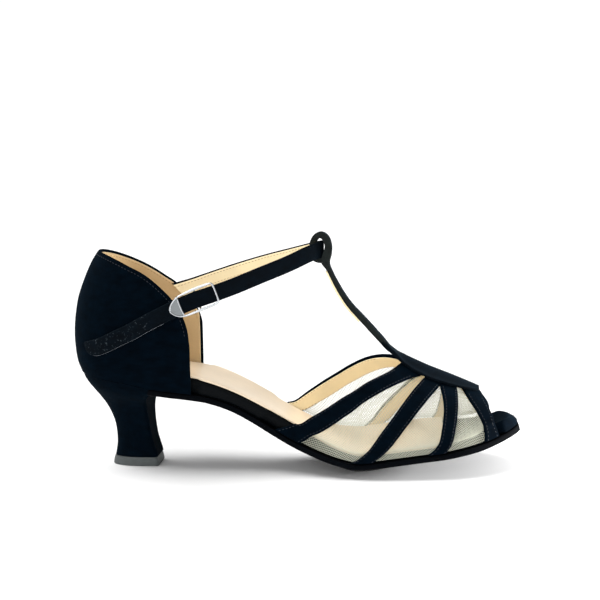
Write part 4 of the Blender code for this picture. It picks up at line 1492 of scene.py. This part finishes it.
@dataclass
class StrapFan:
    """The forefoot straps with their lining and stitches, and the net between them."""

    bench: Bench
    stations: int = 64
    columns: int = 11
    low: float = 0.0010
    high: float = 0.0026
    edge: float = 0.0006
    crown: float = 0.00012
    overlap: float = 0.04
    layer: float = 0.00002
    lining_low: float = 0.00020
    lining_high: float = 0.00075
    lining_trim: float = 0.0008
    stitch_inset: float = 0.0013
    stitch_span: Span = (0.985, 0.185)
    stitch_steps: int = 56
    proud: float = 0.00004
    net_lift: float = 0.00085
    net_pitch: float = 0.00100
    net_radius: float = 0.000145
    net_span: Span = (0.42, 0.95)
    net_margin: float = 0.995
    girth_scale: float = 0.050

    def _strips(self) -> list[tuple[int, Table]]:
        """Side and table of each strap."""
        firsts = ((-1, OUTER_FIRST), (1, INNER_FIRST))
        return [(side, Table(rows)) for side, first in firsts for rows in (first, SECOND, THIRD, TOE_STRAP)]

    def _edges(self, table: Table, girth: float) -> tuple[float, float]:
        """Middle and half-width of a strap at a girth, in metres along the sole.

        Args:
            table: The strap's table.
            girth: Share of the girth.

        Returns:
            The middle and the half-width.
        """
        last = self.bench.last
        rear, front = (last.x_of(table.at(column, max(girth, 0.0))) for column in ("rear", "front"))
        return (rear + front) / 2, (front - rear) / 2

    def _strip(self, side: int, table: Table, low: float, high: float, trim: float) -> list[Ring]:
        """Rings of one strap's layer, from the sole to just past the ridge.

        Args:
            side: Sign of Y.
            table: The strap's table.
            low: Lift of the layer's lower face.
            high: Lift of its upper face.
            trim: How far it stands in from the strap's edges.

        Returns:
            The rings.
        """
        last, rings = self.bench.last, []
        for k in range(self.stations + 1):
            girth = 1.0 - (1 + self.overlap) * k / self.stations
            middle, half = self._edges(table, girth)
            half -= trim
            ring = []
            for t, lift in section(self.columns, low, high, self.edge / half, self.crown):
                ring.append(last.vamp_point(middle + t * half, side * girth, lift))
            rings.append(ring)
        return rings

    def _row(self, side: int, table: Table, edge: int, lift: float) -> list[Vector]:
        """A stitch line along one edge of a strap.

        Args:
            side: Sign of Y.
            table: The strap's table.
            edge: -1 for the rear edge, 1 for the front edge.
            lift: Lift of the line.

        Returns:
            The line's points.
        """
        line, (start, end) = [], self.stitch_span
        for k in range(self.stitch_steps + 1):
            girth = start + (end - start) * k / self.stitch_steps
            middle, half = self._edges(table, girth)
            line.append(self.bench.last.vamp_point(middle + edge * (half - self.stitch_inset), side * girth, lift))
        return line

    def _net_lines(self) -> list[list[Vector]]:
        """The net's yarns, laid out on the flat pattern in two diagonal directions.

        Returns:
            The yarns.
        """
        last = self.bench.last
        rear = {-1: Table(OUTER_FIRST), 1: Table(INNER_FIRST)}
        front = Table(TOE_STRAP)
        step = self.net_pitch / math.sqrt(2)
        known: dict[tuple[int, int], Vector | None] = {}

        def knot(i: int, j: int) -> Vector | None:
            """Finds the knot of one cell.

            Args:
                i: Number of the cell along the sole.
                j: Its number across.

            Returns:
                The knot, or None outside the net.
            """
            if (i, j) not in known:
                x, girth = i * step, j * step / self.girth_scale
                known[i, j] = None
                if abs(girth) <= self.net_margin:
                    side = 1 if girth > 0 else -1
                    start, _ = self._edges(rear[side], abs(girth))
                    end, _ = self._edges(front, abs(girth))
                    if start <= x <= end:
                        known[i, j] = last.vamp_point(x, girth, self.net_lift)
            return known[i, j]

        count = round(self.girth_scale / step)
        low, high = (round(last.x_of(share) / step) for share in self.net_span)
        lines = []
        for slant in (-1, 1):
            for begin in range(low - 2 * count, high + 2 * count):
                run: list[Vector] = []
                for j in range(-count, count + 1):
                    i = begin + slant * j
                    spot = knot(i, j) if (i + j) % 2 == 0 and low <= i <= high else None
                    if spot is not None:
                        run.append(spot)
                    elif run:
                        lines.append(run)
                        run = []
                if run:
                    lines.append(run)
        return [line for line in lines if len(line) > 1]

    def make(self) -> None:
        """Builds and dresses the straps, their lining, their stitches and the net."""
        bench = self.bench
        suede, lining = Shape(), Shape()
        outside, inside = [], []
        for k, (side, table) in enumerate(self._strips()):
            low = self.lining_low - self.layer * k
            suede.band(self._strip(side, table, self.low, self.high + self.layer * k, 0.0))
            lining.band(self._strip(side, table, low, self.lining_high, self.lining_trim))
            outside += [self._row(side, table, edge, self.high + self.proud) for edge in (-1, 1)]
            inside += [self._row(side, table, edge, low - self.layer) for edge in (-1, 1)]
        bench.seat(suede.solid("fan_straps", UPPER_SUEDE, 50), Slot.SUEDE, "upper_vamp")
        bench.seat(lining.solid("fan_lining", STRAP_LINING, 50), Slot.SOCK, "upper_vamp")
        bench.sew("fan_stitches", outside, BLACK_THREAD)
        bench.sew("fan_lining_stitches", inside, LINING_THREAD, FINE_STITCH)
        bench.lay("fan_net", self._net_lines(), NET_YARN, Slot.NET, self.net_radius, 3, "vamp_mesh")


@dataclass
class Ribbon:
    """A strap along a path: a place, an outward direction, a width and a skew for each row."""

    centres: list[Vector]
    across: list[Vector]
    outs: list[Vector]
    halves: list[float]
    scales: list[tuple[float, float]] | None = None
    steps: int = 6
    crown: float = 0.0001

    def point(self, row: int, t: float, lift: float) -> Vector:
        """A point of the strap's section at one row.

        Args:
            row: Number of the row.
            t: Place across, from -1 to 1.
            lift: Distance out from the middle, which the row's own scales change.

        Returns:
            The point.
        """
        inner, outer = self.scales[row] if self.scales else (1.0, 1.0)
        lift *= outer if lift > 0 else inner
        return self.centres[row] + self.across[row] * t * self.halves[row] + self.outs[row] * lift

    def curve(self, t: float, lift: float, start: int = 0, end: int | None = None) -> list[Vector]:
        """A smooth line along the rows from `start` to `end`, at a place across and a distance out."""
        rows = range(len(self.centres))[start:end]
        return smooth_path([self.point(row, t, lift) for row in rows], self.steps)

    def rings(self, low: float, high: float, edge: float, trim: float = 0.0, columns: int = 9) -> list[Ring]:
        """Rings of one layer.

        Args:
            low: Level of its inner face.
            high: Level of its outer face.
            edge: Radius of its edges.
            trim: How far it stands in from the strap's edges.
            columns: Points across each face.

        Returns:
            The rings.
        """
        half = max(self.halves)
        share = (half - trim) / half
        places = section(columns, low, high, edge / half, self.crown)
        return [list(ring) for ring in zip(*(self.curve(t * share, lift) for t, lift in places))]


@dataclass
class TStrap:
    """The T-strap: its loop, its run down the instep and its bar on the straps."""

    bench: Bench
    width: float = 0.0084
    half: float = 0.00116
    bar_lift: float = 0.0029
    bar_plate: float = 0.0014
    side_above: float = 0.066
    edge: float = 0.0007
    columns: int = 13
    drop_power: float = 1.8
    lining_rows: tuple[int, int] = (11, 14)
    lining_thick: float = 0.0010
    lining_bite: float = 0.0001
    lining_edge: float = 0.0004
    loop_scales: tuple[tuple[float, float], ...] = (
        (1.5, 0.5), (1.7, 0.5), (1.6, 0.8), (1.6, 1.15), (1.6, 1.15), (1.7, 1.15), (1.7, 1.15), (2.0, 1.15),
        (2.1, 1.0), (2.8, 1.0), (2.8, 1.0), (1.0, 1.0), (1.0, 1.1), (1.0, 1.3), (1.0, 1.6), (1.0, 1.5),
    )

    def ribbon(self) -> Ribbon:
        """The strap's path."""
        last = self.bench.last
        centres = [last.shared(row) for row in T_STRAP]
        across = [ACROSS] * len(T_STRAP)
        outs, halves = [], [row.width * self.width / 2 for row in T_STRAP]
        for k, centre in enumerate(centres):
            after = centres[k + 1] if k + 1 < len(centres) else centre * 2 - centres[k - 1]
            before = centres[k - 1] if k else centre * 2 - centres[1]
            outs.append((after - before).normalized().cross(ACROSS).normalized())
        scales = [*self.loop_scales, *[(1.0, 1.0)] * (len(T_STRAP) - len(self.loop_scales))]
        for row in BAR:
            x, middle = last.x_of(row.along), self.bar_lift + self.bar_plate / 2
            ends = [last.vamp_point(x, side * row.girth, middle) for side in SIDES]
            centre = last.vamp_point(x, 0.0, middle)
            centres.append(centre)
            across.append((ends[1] - ends[0]).normalized())
            outs.append((last.vamp_point(x, 0.0, middle + 0.001) - centre).normalized())
            halves.append((ends[1] - ends[0]).length / 2)
            scales.append((self.bar_plate / 2 / self.half,) * 2)
        return Ribbon(centres, across, outs, halves, scales)

    def _bar_drop(self, ribbon: Ribbon, rings: list[Ring]) -> list[Ring]:
        """Lets the bar's edges follow the straps under it.

        Args:
            ribbon: The strap's path.
            rings: Its rings, which are changed in place.

        Returns:
            The same rings.
        """
        last, first = self.bench.last, len(T_STRAP)
        end = first + len(BAR) - 1
        for k, ring in enumerate(rings):
            row = k / ribbon.steps
            if row < first - 1:
                continue
            at = min(max(row, first), end)
            low = min(int(at), end - 1)
            share = at - low
            here, there = BAR[low - first], BAR[low - first + 1]
            x = last.x_of(here.along + (there.along - here.along) * share)
            girth = here.girth + (there.girth - here.girth) * share
            middle = last.vamp_point(x, 0.0, 0.0)
            edge = [last.vamp_point(x, side * girth, 0.0) for side in SIDES]
            fade = ease(first - 1, first, row)
            for j, spot in enumerate(ring):
                side = 1 if spot.y > middle.y else 0
                reach = abs(edge[side].y - middle.y)
                t = min(abs(spot.y - middle.y) / reach, 1.0)
                ring[j] = spot + Vector((0, 0, (edge[side].z - middle.z) * t**self.drop_power)) * fade
        return rings

    def make(self) -> None:
        """Builds and dresses the strap and its lining."""
        bench, ribbon, half = self.bench, self.ribbon(), self.half
        suede = self._bar_drop(ribbon, ribbon.rings(-half, half, self.edge, columns=self.columns))
        run = slice(*(row * ribbon.steps for row in self.lining_rows))
        low, high = -half - self.lining_thick, -half + self.lining_bite
        lining = ribbon.rings(low, high, self.lining_edge, self.lining_edge, self.columns)[run]
        made = Shape().band(suede).solid("t_strap_suede", STRAP_SUEDE, 50)
        paint(made, CUT_SIDE, lambda face: abs(face.normal.y) > FACES_SIDE and face.center.z > self.side_above)
        bench.seat(made, Slot.SUEDE, "t_strap")
        bench.seat(Shape().band(lining).solid("t_strap_lining", STRAP_LINING, 50), Slot.SOCK, "t_strap")


@dataclass
class AnkleStrap:
    """The ankle strap, from the inner quarter through the loop to its tail behind the buckle."""

    bench: Bench
    width: float = 0.0086
    thick: float = 0.0020
    suede_from: float = -0.15
    lining_to: float = -0.20
    edge: float = 0.0006
    lining_edge: float = 0.0004
    lining_trim: float = 0.0011
    stitch_inset: float = 0.0019
    stitch: float = 0.00014
    # Radius and place of the line along the tail's cut edge, whose light grey is a painted highlight.
    cut: float = 0.00022
    cut_at: Span = (-0.97, 0.2)

    def ribbon(self) -> Ribbon:
        """The strap's path."""
        last = self.bench.last
        centres = [last.shared(row) for row in ANKLE]
        wanted: list[Vector | None] = [None] * len(ANKLE)
        for row in TAIL:
            z, lift = row.height * last.heel_height, row.lift * self.width
            centre = last.quarter_point(row.along, -1, z, -lift)
            centres.append(centre)
            wanted.append((centre - last.quarter_point(row.along, -1, z)).normalized())
        across, outs, halves = [], [], []
        end = len(centres) - 1
        for k, row in enumerate((*ANKLE, *TAIL)):
            along = (centres[min(k + 1, end)] - centres[max(k - 1, 0)]).normalized()
            out = wanted[k] or UP.cross(along).normalized()
            up = along.cross(out).normalized()
            outs.append(up.cross(along).normalized())
            across.append(up - along * row.skew)
            halves.append(row.width * self.width / 2)
        return Ribbon(centres, across, outs, halves)

    def make(self) -> Ribbon:
        """Builds and dresses the strap, and returns its path for the buckle."""
        bench, ribbon = self.bench, self.ribbon()
        half = self.thick / 2
        rings = ribbon.rings(half * self.suede_from, half, self.edge)
        suede = Shape().band(rings).solid("ankle_strap_suede", STRAP_SUEDE, 50)
        tail = bench.last.x_of(TAIL[1].along)
        paint(suede, TAIL_SUEDE, lambda face: face.center.x < tail and face.center.y < 0)
        bench.seat(suede, Slot.SUEDE, "ankle_strap")
        lining = Shape().band(ribbon.rings(-half, half * self.lining_to, self.lining_edge, self.lining_trim))
        bench.seat(lining.solid("ankle_strap_lining", STRAP_LINING, 50), Slot.SOCK, "ankle_strap")
        inset = 1 - self.stitch_inset / (self.width / 2)
        rows = [ribbon.curve(t, -half, 0, -3) for t in (-inset, inset)]
        bench.sew("ankle_lining_stitches", rows, LINING_THREAD, self.stitch)
        # A light grey line along the tail's lower cut edge and across its tip: a painted highlight on a real edge.
        side, level = self.cut_at
        under = ribbon.curve(side, half * level, len(ANKLE))
        tip = [ribbon.point(len(ribbon.centres) - 1, t / 4, half * level) for t in range(-4, 5)]
        bench.lay("tail_cut_edge", [under, tip], CUT_EDGE_HIGHLIGHT, Slot.SUEDE, self.cut, 6)
        return ribbon


@dataclass
class Buckle:
    """The pointed buckle: brushed plate, polished rims, the bar behind it and the tab round the bar."""

    bench: Bench
    ribbon: Ribbon
    width: float = 0.0086
    base: float = 0.0007
    rim: float = 0.00044
    sunk: float = 0.0001
    strap_top: float = 0.0010
    window: int = 14
    rail_at: float = 1.285
    rail: float = 0.00050
    rail_across: tuple[float, ...] = (0.55, 0.3, 0.0, -0.3, -0.55)
    wire_at: float = 0.1
    wire: float = 0.0006
    wire_rows: tuple[Span, ...] = ((0.64, -0.0017), (0.60, -0.0028), (0.50, -0.0032))
    tab_half: float = 0.0031
    tab_thick: float = 0.0004
    tab_edge: float = 0.0003
    tab_lift: float = 0.00106
    tab_roots: tuple[Span, ...] = ((0.203, 1.590), (0.216, 1.614))
    tab_rows: tuple[Span, ...] = (
        (-0.800, -0.245), (-0.350, -0.225), (0.100, -0.215), (0.255, -0.370), (0.100, -0.525), (-0.150, -0.540),
        (-0.600, -0.540),
    )

    def axes(self) -> tuple[Vector, Vector, Vector, Vector]:
        """Finds where the buckle sits on the strap.

        Returns:
            The middle, then the directions along, across and out.
        """
        path = smooth_path(self.ribbon.centres, 12)
        target = self.bench.last.x_of(BUCKLE_AT)
        at = min(range(len(path) // 2, len(path)), key=lambda k: abs(path[k].x - target))
        along = (path[at - self.window] - path[at + self.window]).normalized()
        out = along.cross(UP).normalized()
        return path[at], along, out.cross(along).normalized(), out

    def _loop(self, rows: Sequence[PlanRow], inset: float) -> list[Vector]:
        """A plan outline as points in the buckle's own plane.

        Args:
            rows: The plan's rows.
            inset: How far the line is drawn towards the metal.

        Returns:
            Points along and across, in metres.
        """
        spots = smooth_path([Vector((row.along, row.across, 0)) * self.width for row in rows], 4, closed=True)
        moved = []
        for k, spot in enumerate(spots):
            run = (spots[(k + 1) % len(spots)] - spots[k - 1]).normalized()
            moved.append(spot + Vector((-run.y, run.x, 0)) * inset)
        return moved

    def make(self) -> None:
        """Builds and dresses plate, rims, bar and tab."""
        bench = self.bench
        middle, along, across, out = self.axes()
        low = self.strap_top + 1.2 * GAP

        def put(spot: Vector, level: float) -> Vector:
            """A point of the buckle's own plane, placed on the shoe."""
            return middle + along * spot.x + across * spot.y + out * (low + level)

        outer, window = self._loop(BUCKLE_OUTLINE, -self.rim), self._loop(BUCKLE_WINDOW, self.rim)
        work = bmesh.new()
        for loop in (outer, window):
            spots = [work.verts.new(put(spot, self.base)) for spot in loop]
            for a, b in zip(spots, spots[1:] + spots[:1]):
                work.edges.new((a, b))
        bmesh.ops.triangle_fill(work, use_beauty=True, use_dissolve=False, edges=work.edges)
        mesh = bpy.data.meshes.new("buckle_plate")
        work.normal_update()
        if sum(face.normal.dot(out) * face.calc_area() for face in work.faces) < 0:
            bmesh.ops.reverse_faces(work, faces=work.faces)
        work.to_mesh(mesh)
        work.free()
        mesh.materials.append(BRUSHED.material())
        plate = placed("buckle_plate", mesh)
        solid = plate.modifiers.new("thickness", "SOLIDIFY")
        solid.thickness, solid.offset = self.base - self.sunk, -1
        baked = bpy.data.meshes.new_from_object(plate.evaluated_get(bpy.context.evaluated_depsgraph_get()))
        plate.modifiers.clear()
        plate.data = baked
        bench.seat(plate, Slot.METAL, "buckle_frame")
        rims = [[put(spot, self.base - self.sunk) for spot in [*loop, loop[0]]] for loop in (outer, window)]
        bench.lay("buckle_rims", rims, POLISHED, Slot.METAL, self.rim, 10)
        rail = [put(Vector((self.rail_at, y, 0)) * self.width, self.base) for y in self.rail_across]
        bench.lay("buckle_rail", [smooth_path(rail, 4)], POLISHED, Slot.METAL, self.rail, 10)
        half = [(self.wire_rows[0][0], low - GAP), *self.wire_rows]
        bar = [*half, (0.0, half[-1][1]), *((-y, level) for y, level in reversed(half))]
        spots = [middle + (along * self.wire_at + across * y) * self.width + out * level for y, level in bar]
        bench.lay("buckle_wire", [smooth_path(spots, 4)], POLISHED, Slot.METAL, self.wire, 10, "buckle_bar")
        self._tab(middle, along, across, out)

    def _tab(self, middle: Vector, along: Vector, across: Vector, out: Vector) -> None:
        """Builds and dresses the tab that holds the buckle's bar.

        Args:
            middle: Middle of the buckle.
            along: Direction along the strap.
            across: Direction across it.
            out: Direction away from the shoe.
        """
        last = self.bench.last
        centres = [last.quarter_point(share, -1, z * last.heel_height, -self.tab_lift) for share, z in self.tab_roots]
        centres += [middle + (along * at + out * level) * self.width for at, level in self.tab_rows]
        outs, sides = [], []
        for k in range(len(centres)):
            run = (centres[min(k + 1, len(centres) - 1)] - centres[max(k - 1, 0)]).normalized()
            outs.append(run.cross(across).normalized())
            sides.append(outs[-1].cross(run).normalized())
        ribbon = Ribbon(centres, sides, outs, [self.tab_half] * len(centres))
        rings = ribbon.rings(-self.tab_thick, self.tab_thick, self.tab_edge)
        self.bench.seat(Shape().band(rings).solid("buckle_tab_suede", STRAP_SUEDE, 50), Slot.SUEDE, "buckle_tab")


@dataclass
class Studio:
    """Pale floor, soft light and the camera at the photograph's angle."""

    distance: float = 0.655
    azimuth: float = 4.6
    elevation: float = 6.3
    roll: float = -0.8
    focal_share: float = 1236 / 600
    target: Triple = (0.08863, 0.0, 0.08807)
    sensor: float = 36.0
    clip: Span = (0.01, 50.0)
    floor_size: float = 12.0
    floor_level: float = -0.0002
    toe_place: Triple = (0.355, 0.030, 0.040)
    toe_aim: Triple = (0.140, -0.040, 0.0)
    toe_size: float = 0.05
    toe_power: float = 0.85
    sky_stops: tuple[Span, Span] = ((0.16, 1.0), (0.34, 0.0))
    horizon: float = 1.04
    sky: float = 0.30

    def camera(self) -> None:
        """Sets the camera."""
        az, el, roll = (math.radians(a) for a in (self.azimuth, self.elevation, self.roll))
        back = Vector((math.sin(az) * math.cos(el), -math.cos(az) * math.cos(el), math.sin(el)))
        right = (-back).cross(UP).normalized()
        up = right.cross(-back)
        turned = right * math.cos(roll) + up * math.sin(roll)
        up = up * math.cos(roll) - right * math.sin(roll)
        data = bpy.data.cameras.new("camera")
        data.sensor_width, data.lens = self.sensor, self.sensor * self.focal_share
        data.clip_start, data.clip_end = self.clip
        made = placed("camera", data)
        place = Vector(self.target) + back * self.distance
        made.matrix_world = Matrix((*zip(turned, up, back, place), (0, 0, 0, 1)))
        bpy.context.scene.camera = made

    def floor(self) -> None:
        """Sets the pale floor."""
        mesh = bpy.data.meshes.new("floor")
        size, z = self.floor_size, self.floor_level
        mesh.from_pydata([(-size, -size, z), (size, -size, z), (size, size, z), (-size, size, z)], [], [(0, 1, 2, 3)])
        mesh.materials.append(FLOOR_PAINT.material())
        placed("floor", mesh)

    def light(self, name: str, towards: Triple, spread: float, strength: float) -> None:
        """Adds a wide, far and soft light.

        Args:
            name: The lamp's name.
            towards: Direction from the shoe to the lamp.
            spread: How wide it looks from the shoe, in degrees.
            strength: What it gives a surface that faces it.
        """
        data = bpy.data.lights.new(name, "SUN")
        data.angle, data.energy = math.radians(spread), strength
        placed(name, data).rotation_euler = Vector(towards).to_track_quat("Z", "Y").to_euler()

    def toe_lamp(self) -> None:
        """Adds a small soft lamp that opens the shadow under the toe."""
        data = bpy.data.lights.new("toe lamp", "AREA")
        data.shape, data.size, data.energy = "DISK", self.toe_size, self.toe_power
        made, place = placed("toe lamp", data), Vector(self.toe_place)
        made.location = place
        made.rotation_euler = (place - Vector(self.toe_aim)).to_track_quat("Z", "Y").to_euler()
        made.visible_camera = False

    def world(self) -> None:
        """Sets a white surround."""
        surround = bpy.data.worlds.new("white surround")
        surround.use_nodes = True
        graph = Graph(surround.node_tree)
        way = graph.node("ShaderNodeTexCoord", out="Generated")
        glow = graph.ramp(graph.node("ShaderNodeSeparateXYZ", None, {0: way}, "Z"), *self.sky_stops)
        strength = glow * (self.horizon - self.sky) + self.sky
        sky = surround.node_tree.nodes["Background"]
        sky.inputs["Color"].default_value = (1, 1, 1, 1)
        surround.node_tree.links.new(strength.socket, sky.inputs["Strength"])
        bpy.context.scene.world = surround
        bpy.context.scene.view_settings.view_transform = "Standard"

    def make(self) -> None:
        """Sets floor, light, surround and camera."""
        self.world()
        self.floor()
        self.light("key", towards=(-0.46, 0.10, 1.0), spread=50, strength=3.3)
        self.light("fill", towards=(-0.15, -1.0, 0.35), spread=40, strength=0.80)
        self.toe_lamp()
        self.camera()


def main() -> None:
    """Builds the shoe, piece by piece, and the studio round it."""
    logging.basicConfig(level=logging.INFO, format="%(name)s: %(message)s")
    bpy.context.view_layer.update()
    Studio().make()
    bench = Bench()
    for part in (Bottom(bench), Heel(bench), Counter(bench), StrapFan(bench), TStrap(bench)):
        part.make()
    Buckle(bench, AnkleStrap(bench).make()).make()


if __name__ == "__main__":
    main()
